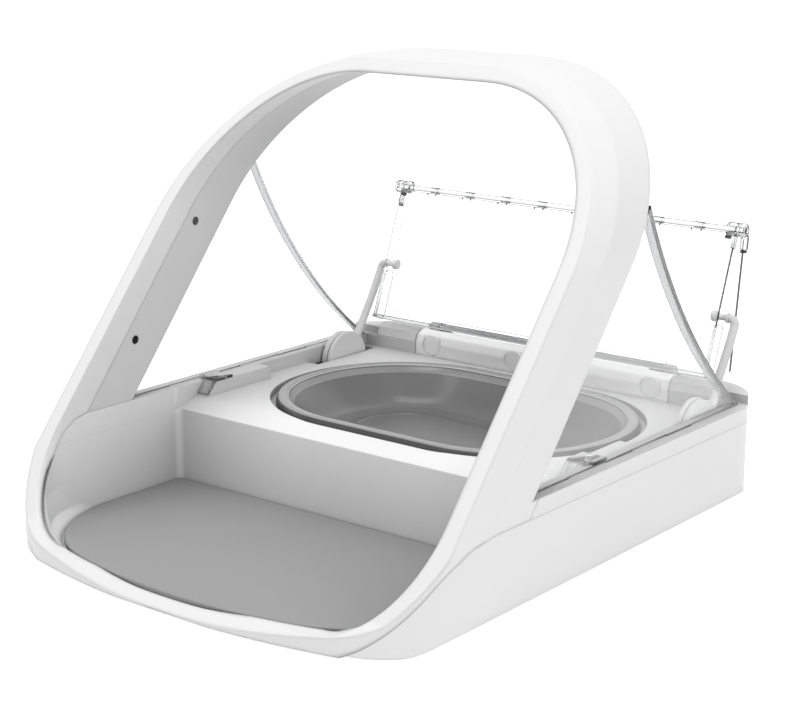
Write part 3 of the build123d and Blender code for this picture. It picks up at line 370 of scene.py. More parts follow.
def bowed_outline(side, front, rise, front_radius, rear, rear_radius, steps=14):
    """An outline from above: a bowed front on a circle through the sides' front ends, round corners,
    straight sides and a straight rear. Each corner circle touches both lines that it joins."""
    bow = (side**2 + rise**2) / (2 * rise)
    bow_y = front + bow
    corner_x = side - front_radius
    corner_y = bow_y - math.sqrt((bow - front_radius) ** 2 - corner_x**2)
    lean = math.atan2(corner_x, bow_y - corner_y)
    sweep = np.linspace(-lean, lean, 2 * steps)
    bowed = np.stack([bow * np.sin(sweep), bow_y - bow * np.cos(sweep)], axis=1)
    turn = np.linspace(lean, math.pi / 2, steps)[1:]
    right = np.stack([np.sin(turn), -np.cos(turn)], axis=1) * front_radius + (corner_x, corner_y)
    turn = np.linspace(0, math.pi / 2, steps)
    back = side - rear_radius + rear_radius * np.cos(turn)
    rear_right = np.stack([back, rear - rear_radius + rear_radius * np.sin(turn)], axis=1)
    mirrored = np.concatenate([right, rear_right])[::-1] * np.array([-1.0, 1.0])
    return np.concatenate([bowed, right, rear_right, mirrored])


def rounded_rectangle(left, right, front, rear, radius, steps=16):
    """A rectangle seen from above whose corners are quarter circles."""
    radius = min(radius, (right - left) / 2, (rear - front) / 2)
    angle = np.radians(np.linspace(0, 90, steps))
    corners = [
        (right - radius, rear - radius, 0),
        (left + radius, rear - radius, 90),
        (left + radius, front + radius, 180),
        (right - radius, front + radius, 270),
    ]
    parts = []
    for x, y, start in corners:
        sweep = angle + math.radians(start)
        parts.append(np.stack([x + radius * np.cos(sweep), y + radius * np.sin(sweep)], axis=1))
    return np.concatenate(parts)


def front_plane(height, setback=0.0):
    """Where the hood's front plane, moved back by setback, is at a height."""
    return FRONT_FOOT + setback + np.asarray(height, float) / FRONT_SLOPE


# ------------------------------ materials
def new_group(name, inputs, outputs):
    """A shader node group with named sockets; gives the group and its two end nodes."""
    group = bpy.data.node_groups.new(name, "ShaderNodeTree")
    for label, kind, default in inputs:
        socket = group.interface.new_socket(name=label, in_out="INPUT", socket_type=kind)
        if default is not None:
            socket.default_value = default
    for label, kind in outputs:
        group.interface.new_socket(name=label, in_out="OUTPUT", socket_type=kind)
    return group, group.nodes.new("NodeGroupInput"), group.nodes.new("NodeGroupOutput")


def math_node(tree, operation, first, second=None):
    """A Math node; each operand is a socket or a number."""
    node = tree.nodes.new("ShaderNodeMath")
    node.operation = operation
    for index, value in enumerate((first, second)):
        if value is None:
            continue
        if isinstance(value, (int, float)):
            node.inputs[index].default_value = value
        else:
            tree.links.new(value, node.inputs[index])
    return node.outputs[0]


def noise_node(tree, vector, scale, detail=3.0, roughness=0.55):
    """A noise texture on a vector; its scale is a socket or a number."""
    node = tree.nodes.new("ShaderNodeTexNoise")
    node.inputs["Detail"].default_value = detail
    node.inputs["Roughness"].default_value = roughness
    tree.links.new(vector, node.inputs["Vector"])
    if isinstance(scale, (int, float)):
        node.inputs["Scale"].default_value = scale
    else:
        tree.links.new(scale, node.inputs["Scale"])
    return node.outputs["Fac"]


def soft_bump(group, inside, strength, height, distance):
    """The normal of a bumped surface with edges softened by Edge; strength names the group's socket."""
    soft = group.nodes.new("ShaderNodeBevel")
    soft.samples = 6
    group.links.new(inside.outputs["Edge"], soft.inputs["Radius"])
    bump = group.nodes.new("ShaderNodeBump")
    bump.inputs["Distance"].default_value = distance
    group.links.new(inside.outputs[strength], bump.inputs["Strength"])
    group.links.new(height, bump.inputs["Height"])
    group.links.new(soft.outputs[0], bump.inputs["Normal"])
    return bump.outputs[0]


def moulded_surface_group():
    """Colour, roughness and normal of a moulded plastic: slow tone changes, a fine grain, softened edges and
    painted shade in its hollows, where other surfaces are near, where that is asked for."""
    group, inside, outside = new_group(
        "moulded surface",
        [
            ("Colour", "NodeSocketColor", (0.8, 0.8, 0.8, 1.0)),
            ("Tone change", "NodeSocketFloat", 0.02),
            ("Roughness", "NodeSocketFloat", 0.4),
            ("Roughness change", "NodeSocketFloat", 0.06),
            ("Grain scale", "NodeSocketFloat", 1800.0),
            ("Grain height", "NodeSocketFloat", 0.1),
            ("Edge", "NodeSocketFloat", 0.0008),
            ("Painted hollow shade", "NodeSocketFloat", 0.0),
        ],
        [("Colour", "NodeSocketColor"), ("Roughness", "NodeSocketFloat"), ("Normal", "NodeSocketVector")],
    )
    links = group.links
    place = group.nodes.new("ShaderNodeTexCoord").outputs["Object"]
    slow = noise_node(group, place, 22.0, 2.0)
    grain = noise_node(group, place, inside.outputs["Grain scale"], 2.0)
    shade = math_node(group, "SUBTRACT", slow, 0.5)
    shade = math_node(group, "MULTIPLY", shade, inside.outputs["Tone change"])
    shade = math_node(group, "ADD", shade, 1.0)
    # painted shade: an ambient occlusion node darkens the colour where other surfaces are near
    painted_hollow_shade = group.nodes.new("ShaderNodeAmbientOcclusion")
    painted_hollow_shade.samples = 8
    painted_hollow_shade.inputs["Distance"].default_value = PAINTED_SHADE_REACH
    closed = math_node(group, "SUBTRACT", 1.0, painted_hollow_shade.outputs["AO"])
    closed = math_node(group, "MULTIPLY", closed, inside.outputs["Painted hollow shade"])
    shade = math_node(group, "SUBTRACT", shade, closed)
    tint = group.nodes.new("ShaderNodeVectorMath")
    tint.operation = "SCALE"
    links.new(inside.outputs["Colour"], tint.inputs[0])
    links.new(shade, tint.inputs["Scale"])
    links.new(tint.outputs[0], outside.inputs["Colour"])
    rough = math_node(group, "SUBTRACT", noise_node(group, place, 90.0, 4.0), 0.5)
    rough = math_node(group, "MULTIPLY", rough, inside.outputs["Roughness change"])
    rough = math_node(group, "ADD", rough, inside.outputs["Roughness"])
    links.new(rough, outside.inputs["Roughness"])
    links.new(soft_bump(group, inside, "Grain height", grain, 0.0001), outside.inputs["Normal"])
    return group


def handled_gloss_group():
    """Roughness and normal of a polished plastic that hands have touched: faint smudges and fine lines."""
    group, inside, outside = new_group(
        "handled gloss",
        [
            ("Roughness", "NodeSocketFloat", 0.03),
            ("Smudge", "NodeSocketFloat", 0.05),
            ("Waviness", "NodeSocketFloat", 0.03),
            ("Edge", "NodeSocketFloat", 0.0004),
        ],
        [("Roughness", "NodeSocketFloat"), ("Normal", "NodeSocketVector")],
    )
    links = group.links
    place = group.nodes.new("ShaderNodeTexCoord").outputs["Object"]
    patch = noise_node(group, place, 30.0, 5.0, 0.7)
    patch = math_node(group, "SUBTRACT", patch, 0.48)
    patch = math_node(group, "MAXIMUM", patch, 0.0)
    patch = math_node(group, "MULTIPLY", patch, inside.outputs["Smudge"])
    links.new(math_node(group, "ADD", patch, inside.outputs["Roughness"]), outside.inputs["Roughness"])
    waves = noise_node(group, place, 14.0, 1.0)
    links.new(soft_bump(group, inside, "Waviness", waves, 0.0006), outside.inputs["Normal"])
    return group


# the node groups and the materials made so far, by name
GROUPS = {}
FINISHES = {}


def group_called(name):
    """The shared node group of that name, made when first asked for."""
    if name not in GROUPS:
        makers = {"moulded surface": moulded_surface_group, "handled gloss": handled_gloss_group}
        GROUPS[name] = makers[name]()
    return GROUPS[name]


def bare_material(name):
    """A material with an empty tree, its Principled shader and its output."""
    material = bpy.data.materials.new(name)
    material.use_nodes = True
    tree = material.node_tree
    tree.nodes.clear()
    shader = tree.nodes.new("ShaderNodeBsdfPrincipled")
    output = tree.nodes.new("ShaderNodeOutputMaterial")
    tree.links.new(shader.outputs[0], output.inputs["Surface"])
    return material, tree, shader


def moulded(
    name, base, roughness=0.42, tone=0.02, grain=1800.0, height=0.12, edge=0.0009, metal=0.0, painted_hollow_shade=0.0
):
    """A finish of moulded plastic, rubber or plain metal on the shared surface group, with as much painted
    shade in its hollows as asked for.
    """
    if name in FINISHES:
        return FINISHES[name]
    material, tree, shader = bare_material(name)
    surface = tree.nodes.new("ShaderNodeGroup")
    surface.node_tree = group_called("moulded surface")
    surface.inputs["Colour"].default_value = (*base, 1.0)
    labels = ("Tone change", "Roughness", "Grain scale", "Grain height", "Edge", "Painted hollow shade")
    for label, value in zip(labels, (tone, roughness, grain, height, edge, painted_hollow_shade)):
        surface.inputs[label].default_value = value
    for label, socket in (("Colour", "Base Color"), ("Roughness", "Roughness"), ("Normal", "Normal")):
        tree.links.new(surface.outputs[label], shader.inputs[socket])
    shader.inputs["Metallic"].default_value = metal
    FINISHES[name] = material
    return material


def polish(tree, shader, roughness, smudge):
    """Puts the shared gloss group on a shader's roughness and normal."""
    gloss = tree.nodes.new("ShaderNodeGroup")
    gloss.node_tree = group_called("handled gloss")
    gloss.inputs["Roughness"].default_value = roughness
    gloss.inputs["Smudge"].default_value = smudge
    gloss.inputs["Waviness"].default_value = 0.02
    for label in ("Roughness", "Normal"):
        tree.links.new(gloss.outputs[label], shader.inputs[label])


def clear_plastic(name, body=(0.985, 0.99, 0.992), painted_dark_edge=None, roughness=0.015):
    """Clear plastic of a body colour; round parts get a painted dark edge colour where their surface turns
    away, standing in for the dark surroundings seen reflected in their edges.
    """
    if name in FINISHES:
        return FINISHES[name]
    material, tree, shader = bare_material(name)
    polish(tree, shader, roughness, smudge=0.03)
    shader.inputs["Base Color"].default_value = (*body, 1.0)
    if painted_dark_edge:
        # painted reflection: the colour gets darker as the surface turns from the eye
        weight = tree.nodes.new("ShaderNodeLayerWeight")
        weight.inputs["Blend"].default_value = 0.5
        away = tree.nodes.new("ShaderNodeMapRange")
        away.inputs["From Min"].default_value = PAINTED_EDGE_FROM
        away.inputs["From Max"].default_value = PAINTED_EDGE_TO
        tree.links.new(weight.outputs["Facing"], away.inputs["Value"])
        tint = tree.nodes.new("ShaderNodeMix")
        tint.data_type = "RGBA"
        tint.inputs["A"].default_value = (*body, 1.0)
        tint.inputs["B"].default_value = (*painted_dark_edge, 1.0)
        tree.links.new(away.outputs["Result"], tint.inputs["Factor"])
        tree.links.new(tint.outputs["Result"], shader.inputs["Base Color"])
    shader.inputs["Transmission Weight"].default_value = 1.0
    shader.inputs["IOR"].default_value = 1.49
    see_through_shadow(tree, shader, strength=0.9)
    FINISHES[name] = material
    return material


def see_through_shadow(tree, shader, strength):
    """Lets a share of the lamps' light pass a clear piece straight, so that its shadow is pale."""
    output = next(node for node in tree.nodes if node.type == "OUTPUT_MATERIAL")
    path = tree.nodes.new("ShaderNodeLightPath")
    clear = tree.nodes.new("ShaderNodeBsdfTransparent")
    mix = tree.nodes.new("ShaderNodeMixShader")
    tree.links.new(math_node(tree, "MULTIPLY", path.outputs["Is Shadow Ray"], strength), mix.inputs[0])
    tree.links.new(shader.outputs[0], mix.inputs[1])
    tree.links.new(clear.outputs[0], mix.inputs[2])
    tree.links.new(mix.outputs[0], output.inputs["Surface"])


def smoky_plastic(name, base, roughness=0.24):
    """Dark smoky gloss plastic of the bowl, a little see-through, with faint clouds in its colour."""
    if name in FINISHES:
        return FINISHES[name]
    material, tree, shader = bare_material(name)
    polish(tree, shader, roughness, smudge=0.12)
    place = tree.nodes.new("ShaderNodeTexCoord").outputs["Object"]
    cloud = tree.nodes.new("ShaderNodeMapRange")
    cloud.inputs["To Min"].default_value = 0.92
    cloud.inputs["To Max"].default_value = 1.08
    tree.links.new(noise_node(tree, place, 35.0), cloud.inputs["Value"])
    tint = tree.nodes.new("ShaderNodeVectorMath")
    tint.operation = "SCALE"
    tint.inputs[0].default_value = base
    tree.links.new(cloud.outputs["Result"], tint.inputs["Scale"])
    tree.links.new(tint.outputs[0], shader.inputs["Base Color"])
    shader.inputs["IOR"].default_value = 1.5
    shader.inputs["Transmission Weight"].default_value = 0.25
    FINISHES[name] = material
    return material


def dress(nodes, finish):
    """Gives CAD nodes a finish in their material slots."""
    for name in nodes:
        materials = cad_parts[name].data.materials
        materials.clear()
        materials.append(finish)


# ------------------------------ pieces
def toned(base, strength):
    """A colour times a strength, with no channel over 0.95."""
    return tuple(np.minimum(np.array(base) * strength, 0.95))


def clear_finishes(context):
    """The clear plastic's finishes in the order of their numbers; all but the sheet have painted grey and
    dark tones for the light and shade seen in clear edges.
    """
    colours = context.scene.feeder_colours
    return [
        clear_plastic("clear sheet", (0.968, 0.97, 0.972)),
        clear_plastic("clear cut rim, painted grey", tuple(colours.clear_edge_painted_grey), roughness=0.05),
        clear_plastic("clear rim, painted dark", tuple(colours.clear_edge_painted_dark), roughness=0.05),
        clear_plastic("clear round part, painted dark edges", painted_dark_edge=(0.1, 0.1, 0.105)),
        clear_plastic("clear rim, painted faint grey", (0.78, 0.785, 0.79), roughness=0.05),
        clear_plastic("clear flange, painted grey", (0.44, 0.445, 0.45), roughness=0.06),
    ]


def make_plug_discs(finish):
    """The four plugs in the drive cover, as flat discs along Y."""
    front, rear, height, radius = 115.55, 116.5, 47.8, 5.1
    discs = []
    for x in (-62.5, -12.7, 12.7, 62.5):
        disc = rounded_bar(front, rear, 0.0, 0.0, radius, 0.3)
        discs.append(of_kind(placed(disc, (x, 0, height), (0, 1, 0), (1, 0, 0), (0, 0, 1))))
    points, faces, _ = joined(*discs)
    make_piece("plug_discs", points, faces, "housing", "shell_white", [finish], ["cover_plugs"])


def knuckle(side, near, far):
    """A round knuckle on the rod, at one side from near to far."""
    low, high = sorted((side * near, side * far))
    # the knuckle's clear finish has painted dark edges
    return of_kind(sleeve(low, high, *ROD, KNUCKLE_BORE, KNUCKLE_RADIUS, 0.5), ROUND_PART)


def make_front_shutter(finishes):
    """The front shutter: a plate hung from the rod, ribs on its free edge, side flanges, its knuckles, and
    clips on the rod with a pair of ticks under each."""
    side_edge, free_edge = 95.0, 68.2
    plate = rounded_rectangle(-side_edge, side_edge, 1.9, free_edge, 1.2)
    rib = rounded_rectangle(-side_edge, side_edge, free_edge - 2.0, free_edge, 0.9, 5)
    flat_parts = [
        # painted shade: the plate's side ends and the ribs get the faint painted grey
        clear_plate(plate, -2.5, -0.5, 0.35, ends=PAINTED_FAINT_RIM),
        thin_slab(rib, -3.3, -2.55, 0.3, PAINTED_FAINT_RIM),
        thin_slab(rib, -0.45, 0.3, 0.3, PAINTED_FAINT_RIM),
    ]
    parts = []
    root = rounded_rectangle(2.2, 9.0, -0.45, 1.2, 0.8, 5)
    wing = rounded_rectangle(43.0, free_edge, -0.45, 6.0, 2.5, 6)
    for side in (-1, 1):
        low, high = sorted((side * 93.25, side * 94.95))
        for outline in (root, wing):
            parts.append(beside_shutter(thin_slab(outline, low, high, 0.3, PAINTED_FAINT_RIM), ROD, FRONT_ANGLE))
        parts.append(knuckle(side, 90.0, side_edge))
        stop = rounded_rectangle(side * 92.2 - 1.6, side * 92.2 + 1.6, 3.4, 5.0, 0.5, 4)
        # painted shade: the stops are painted dark
        flat_parts.append(thin_slab(stop, -3.3, -2.6, 0.2, PAINTED_DARK_RIM))
    clip_count, clip_step, clip_half = 8, 21.5, 2.5
    for number in range(clip_count):
        middle = (number - (clip_count - 1) / 2) * clip_step
        ends = (middle - clip_half, middle + clip_half)
        clip = sleeve(*ends, *ROD, ROD_RADIUS + 0.07, ROD_RADIUS + 0.25, 0.08)
        parts.append(of_kind(clip, ROUND_PART))
        for end in ends:
            tick = rounded_rectangle(end - 0.2, end + 0.2, 2.0, 3.0, 0.18, 4)
            # painted shade: the ticks are painted dark
            flat_parts.append(thin_slab(tick, -2.75, -1.6, 0.1, PAINTED_DARK_RIM))
    parts += [on_shutter(part, ROD, FRONT_ANGLE) for part in flat_parts]
    points, faces, kinds = joined(*parts)
    replaced = ["front_shutter"]
    make_piece("front_shutter_panel", points, faces, "front_lid", "clear_plastic", finishes, replaced, kinds)


def make_rear_shutter(finishes):
    """The rear shutter: a plate with painted dark end rims, its long barrel and web below and two knuckles
    above. A painted dark line runs along the barrel's upper side, a quarter turn on from its first column of
    faces."""
    barrel_end = 63.5
    plate = rounded_rectangle(-97.0, 97.0, 3.6, 64.9, 1.2)
    web = rounded_rectangle(-barrel_end, barrel_end, 0.2, 3.55, 0.5, 4)
    # painted shade: the plate's end rims are painted dark
    flat_parts = [clear_plate(plate, -3.5, -1.5, 0.1, ends=PAINTED_DARK_RIM), clear_plate(web, -2.7, -1.5, 0.2)]
    points, faces = rounded_bar(-barrel_end, barrel_end, *REAR_HINGE, 2.8, 0.5)
    around = np.tile(np.arange(BAR_STEPS), len(faces) // BAR_STEPS)
    # painted shade: a dark line painted along the barrel's upper side, the rest of the barrel a faint
    # painted grey
    upper = np.abs(around - BAR_STEPS // 4) <= 1
    parts = [(points, faces, np.where(upper, PAINTED_DARK_RIM, PAINTED_FAINT_RIM).tolist())]
    for side in (-1, 1):
        parts.append(knuckle(side, 95.45, 99.0))
        low, high = sorted((side * 95.6, side * 99.0))
        lug = rounded_rectangle(low, high, 59.6, 66.5, 0.8, 5)
        flat_parts.append(clear_plate(lug, -3.5, -1.5, 0.3))
        stop = rounded_rectangle(low + 0.3, high - 0.3, 58.2, 59.6, 0.5, 4)
        flat_parts.append(thin_slab(stop, -3.4, -1.6, 0.2, PAINTED_DARK_RIM))
    parts += [on_shutter(part, REAR_HINGE, REAR_ANGLE) for part in flat_parts]
    points, faces, kinds = joined(*parts)
    replaced = ["rear_shutter"]
    make_piece("rear_shutter_panel", points, faces, "rear_lid", "clear_plastic", finishes, replaced, kinds)


def make_screen(side, name, finishes):
    """A side screen: a plate whose upper edge is a hollow arc, the flange along that arc and the clip at its
    foot. The arc's centre lies on the chord's perpendicular, radius - sagitta above the chord's middle."""
    foot_z, tongue_z, top_z, setback = 48.15, 44.4, 148.0, 42.3
    low_point = np.array([114.0, foot_z])
    high_point = np.array([float(front_plane(top_z, setback)), top_z])
    chord = high_point - low_point
    span = np.linalg.norm(chord)
    sagitta = 8.0
    radius = (span**2 / 4 + sagitta**2) / (2 * sagitta)
    square = np.array([chord[1], -chord[0]]) / span
    centre = (low_point + high_point) / 2 + square * (radius - sagitta)
    start, end = (math.atan2(*(point - centre)[::-1]) % (2 * math.pi) for point in (low_point, high_point))
    sweep = np.linspace(start, end, 49)
    ray = np.stack([np.cos(sweep), np.sin(sweep)], axis=1)
    arc = centre + radius * ray
    foot = [(float(front_plane(foot_z, setback)), foot_z)]
    for tongue in (-42.5, 5.0, 52.5):
        far = tongue + 19.8
        foot += [(tongue, foot_z), (tongue, tongue_z), (far, tongue_z), (far, foot_z)]
    outline = np.concatenate([foot, arc])
    columns = np.arange(len(outline))
    on_arc = (columns >= len(foot)) & (columns < len(outline) - 1)
    low, high = sorted((side * 108.0, side * 110.0))
    # painted shade: the arc's rim is painted dark, the rest of the rim painted grey
    parts = [on_side(rimmed_slab(outline, low, high, 0.3, np.where(on_arc, PAINTED_DARK_RIM, CUT_RIM_PAINTED_GREY)))]
    low, high = sorted((side * 104.0, side * 107.9))
    flange = np.concatenate([arc, (centre + (radius + 1.7) * ray)[::-1]])
    # painted shade: the flange along the arc is painted grey
    parts.append(on_side(thin_slab(flange, low, high, 0.3, FLANGE_PAINTED_GREY)))
    hook = [(7.0, 48.2), (-3.7, 48.2), (-9.2, 42.7), (-10.0, 43.5)]
    hook += [(-4.9, 48.6), (-4.3, 49.2), (-3.5, 49.5), (7.0, 49.5)]
    # painted shade: three of the clip's rim steps are painted dark
    dark = np.isin(np.arange(len(hook)), (2, 4, 5))
    low, high = sorted((side * 96.0, side * 105.0))
    parts.append(on_side(rimmed_slab(hook, low, high, 0.3, np.where(dark, PAINTED_DARK_RIM, SHEET))))
    low, high = sorted((side * 105.0, side * 107.9))
    shelf = rounded_rectangle(low, high, -3.0, 7.0, 0.5, 4)
    parts.append(thin_slab(shelf, 48.2, 49.5, 0.3, SHEET))
    points, faces, kinds = joined(*parts)
    replaced = [f"side_screen_{name}"]
    make_piece(f"screen_{name}", points, faces, "housing", "clear_plastic", finishes, replaced, kinds)


def make_arm(side, name, finish):
    """A lift arm: a hub disc, its toothed wheel and axle, and a slim bar that turns in to the pin's knobs.
    Each part lies between two distances from the middle plane, which span puts on the arm's side."""
    hub_y, hub_z = HUB
    pin_y, pin_z = ARM_PIN

    def span(near, far):
        return sorted((side * near, side * far))

    wheel = gear_outline(teeth=36, module=0.8, phase=-45.0, first=-168.0, last=-27.0) + np.array(HUB)
    parts = [
        of_kind(rounded_bar(*span(97.0, 99.4), hub_y, hub_z, 14.0, 0.7, HUB_STEPS)),
        of_kind(rounded_bar(*span(99.3, 103.2), hub_y, hub_z, 12.5, 0.6, HUB_STEPS)),
        on_side(thin_slab(wheel, *span(100.0, 103.0), 0.1, 0)),
        of_kind(rounded_bar(*span(103.0, 110.6), hub_y, hub_z, 3.0, 0.3)),
    ]
    bar_x = 101.3
    path = [
        (bar_x, hub_y + 3.0, hub_z - 2.0),
        (bar_x, hub_y + 9.5, hub_z + 6.0),
        (bar_x, hub_y + 22.4, hub_z + 25.4),
        (bar_x, pin_y - 1.4, pin_z - 4.4),
        (100.6, pin_y - 0.2, pin_z - 1.0),
        (98.4, pin_y, pin_z),
        (95.5, pin_y, pin_z),
        (91.0, pin_y, pin_z),
    ]
    path = smooth_path(path) * np.array([side, 1, 1])
    bar, neck = 2.0, 1.45
    neck_start, neck_end = 36, 46
    thick = np.interp(np.arange(len(path)), [neck_start, neck_end], [bar, neck])
    parts.append(of_kind(swept_tube(path, thick[:, None, None])))
    parts.append(of_kind(rounded_bar(*span(90.0, 92.6), pin_y, pin_z, 2.6, 0.7)))
    parts.append(of_kind(rounded_bar(*span(96.8, 98.4), pin_y, pin_z, 2.4, 0.7)))
    points, faces, _ = joined(*parts)
    replaced = [f"lift_arm_{name}"]
    make_piece(f"arm_{name}", points, faces, f"{name}_arm", "shell_white", [finish], replaced)


def make_bowl(finishes):
    """The bowl: ovals stacked from its underside over its rim and down to the ring on its floor. Each has a
    height, how far it lies inside the well's outline, and the finish of the band that starts there; the
    rim and ring bands are painted darker for shade, the lip and flange bands painted lighter for highlights."""
    rings = [
        (24.3, 44.0, BOWL),
        (24.3, 25.6, BOWL),
        (24.6, 24.8, BOWL),
        (38.6, 10.2, BOWL),
        (39.0, 9.2, BOWL_RIM_PAINTED_SHADE),
        (39.1, 2.9, BOWL_RIM_PAINTED_SHADE),
        (39.5, 2.5, BOWL_RIM_PAINTED_SHADE),
        (42.1, 3.2, BOWL_RIM_PAINTED_SHADE),
        (42.8, 3.7, BOWL_FLANGE_PAINTED_LIGHT),
        (43.15, 4.5, BOWL_FLANGE_PAINTED_LIGHT),
        (43.2, 5.6, BOWL_FLANGE_PAINTED_LIGHT),
        (43.2, 7.4, BOWL_FLANGE_PAINTED_LIGHT),
        (42.9, 8.2, BOWL_LIP_PAINTED_HIGHLIGHT),
        (42.6, 8.5, BOWL),
        (42.0, 8.8, BOWL_FLANGE_PAINTED_LIGHT),
        (39.6, 11.2, BOWL),
        (31.0, 20.0, BOWL),
        (28.4, 23.0, BOWL),
        (27.0, 25.6, BOWL),
        (26.5, 28.5, BOWL),
        (26.5, 36.0, BOWL_RING_PAINTED_SHADE),
        (27.0, 36.8, BOWL_RING_PAINTED_SHADE),
        (27.0, 38.8, BOWL_RING_PAINTED_SHADE),
        (26.5, 39.6, BOWL),
        (26.5, 50.0, BOWL),
    ]
    stacked = []
    for height, inset, _ in rings:
        half, front, rear = WELL_HALF - inset, WELL_FRONT + inset, WELL_REAR - inset
        outline = rounded_rectangle(-half, half, front, rear, WELL_CORNER - inset, 20)
        stacked.append(np.column_stack([outline, np.full(len(outline), height)]))
    count = len(stacked[0])
    faces = grid_faces(len(rings), count, wrap_columns=True)
    faces.append(list(range(count))[::-1])
    faces.append(list(range((len(rings) - 1) * count, len(rings) * count)))
    kinds = np.repeat([kind for _, _, kind in rings[:-1]], count).tolist() + [BOWL, BOWL]
    points = np.concatenate(stacked)
    make_piece("bowl_body", points, faces, "food_bowl", "bowl_smoke", finishes, ["bowl"], kinds)


def make_mat(finish, edge):
    """The mat: a slab of the tray's bowed outline with rounded rims."""
    outline = bowed_outline(
        side=98.9, front=-132.4, rise=21.0, front_radius=54.4, rear=-26.1, rear_radius=2.4
    )
    mat = rounded_slab(outline, MAT_LOW, MAT_HIGH, edge)
    make_piece("mat_pad", *mat, "food_mat", "mat_grey", [finish], ["mat"])


# ------------------------------ studio
def make_floor():
    """A wide floor just under the feeder, white to the camera, that keeps a soft shadow."""
    half, height = 6.0, -0.0002
    mesh = bpy.data.meshes.new("floor")
    corners = [(-half, -half, height), (half, -half, height), (half, half, height), (-half, half, height)]
    mesh.from_pydata(corners, [], [(0, 1, 2, 3)])
    floor = bpy.data.objects.new("floor", mesh)
    bpy.context.scene.collection.objects.link(floor)
    material, tree, shader = bare_material("studio floor")
    shader.inputs["Base Color"].default_value = (0.78, 0.78, 0.78, 1)
    shader.inputs["Roughness"].default_value = 0.9
    shader.inputs["Specular IOR Level"].default_value = 0.0
    path = tree.nodes.new("ShaderNodeLightPath")
    seen = math_node(tree, "MAXIMUM", path.outputs["Is Camera Ray"], path.outputs["Is Glossy Ray"])
    seen = math_node(tree, "MAXIMUM", seen, path.outputs["Is Transmission Ray"])
    tree.links.new(math_node(tree, "MULTIPLY", seen, 0.8), shader.inputs["Emission Strength"])
    shader.inputs["Emission Color"].default_value = (1, 1, 1, 1)
    mesh.materials.append(material)


def make_sky(strength):
    """An even sky that lights softly and looks white to the camera and in gloss and glass."""
    world = bpy.data.worlds.new("studio sky")
    world.use_nodes = True
    tree = world.node_tree
    tree.nodes.clear()
    sky = tree.nodes.new("ShaderNodeBackground")
    output = tree.nodes.new("ShaderNodeOutputWorld")
    path = tree.nodes.new("ShaderNodeLightPath")
    seen = math_node(tree, "MAXIMUM", path.outputs["Is Camera Ray"], path.outputs["Is Transmission Ray"])
    glossy = math_node(tree, "MULTIPLY", path.outputs["Is Glossy Ray"], 0.85)
    seen = math_node(tree, "MAXIMUM", seen, glossy)
    gap = math_node(tree, "MULTIPLY", seen, 1.0 - strength)
    tree.links.new(math_node(tree, "ADD", gap, strength), sky.inputs["Strength"])
    sky.inputs["Color"].default_value = (1, 1, 1, 1)
    tree.links.new(sky.outputs[0], output.inputs["Surface"])
    bpy.context.scene.world = world


def make_lamp(name, place, size, power):
    """A large square lamp that faces the feeder."""
    light = bpy.data.lights.new(name, "AREA")
    light.size = size
    light.energy = power
    lamp = bpy.data.objects.new(name, light)
    lamp.location = place
    aim = Vector(LAMP_AIM) - Vector(place)
    lamp.rotation_euler = aim.to_track_quat("-Z", "Y").to_euler()
    bpy.context.scene.collection.objects.link(lamp)


def make_camera():
    """The camera, aimed at its target: turned by yaw about Z, tilted by pitch and rolled."""
    yaw, pitch, roll = (math.radians(value) for value in CAMERA_ANGLES)
    back = Vector((math.sin(yaw) * math.cos(pitch), -math.cos(yaw) * math.cos(pitch), math.sin(pitch)))
    right = Vector((math.cos(yaw), math.sin(yaw), 0.0))
    up = back.cross(right)
    right, up = right * math.cos(roll) + up * math.sin(roll), up * math.cos(roll) - right * math.sin(roll)
    turn = Matrix((right, up, back)).transposed().to_4x4()
    data = bpy.data.cameras.new("photo camera")
    data.sensor_width = 36.0
    data.lens = FOCAL_PIXELS / PICTURE_PIXELS * data.sensor_width
    camera = bpy.data.objects.new("photo camera", data)
    place = Vector(CAMERA_TARGET) + back * CAMERA_DISTANCE
    camera.matrix_world = Matrix.Translation(place) @ turn
    bpy.context.scene.collection.objects.link(camera)
    bpy.context.scene.camera = camera


# ------------------------------ operators
class FEEDER_OT_shell(bpy.types.Operator):
    """Finish the housing's mouldings, the battery doors and the buttons, and set in the plugs"""

    bl_idname = "feeder.shell"
    bl_label = "Housing"

    def execute(self, context):
        colours = context.scene.feeder_colours
        sizes = context.scene.feeder_sizes
        edge = sizes.edge
        shell = tuple(colours.shell)
        white = moulded("satin white", shell, edge=edge)
        soft = moulded("satin white, soft edges", shell, edge=sizes.soft_edge)
        # painted shade on the hood's inside
        lining_painted_shade = moulded("lining white", tuple(colours.lining_painted_shade), edge=edge, roughness=0.46)
        # painted light and shade: the deck's white is the shell's made lighter, and its hollows get painted
        # shade
        tray = moulded("tray white, painted lighter", toned(shell, TRAY_PAINTED_LIGHT), edge=edge, painted_hollow_shade=0.68)
        dress(["base_shell", "battery_door_left", "battery_door_right"], white)
        dress(["top_deck"], tray)
        dress(["button_food", "button_learn", "button_training"], white)
        dress(["hood_outer", "drive_cover"], soft)
        dress(["hood_liner"], lining_painted_shade)
        make_plug_discs(white)
        return {"FINISHED"}


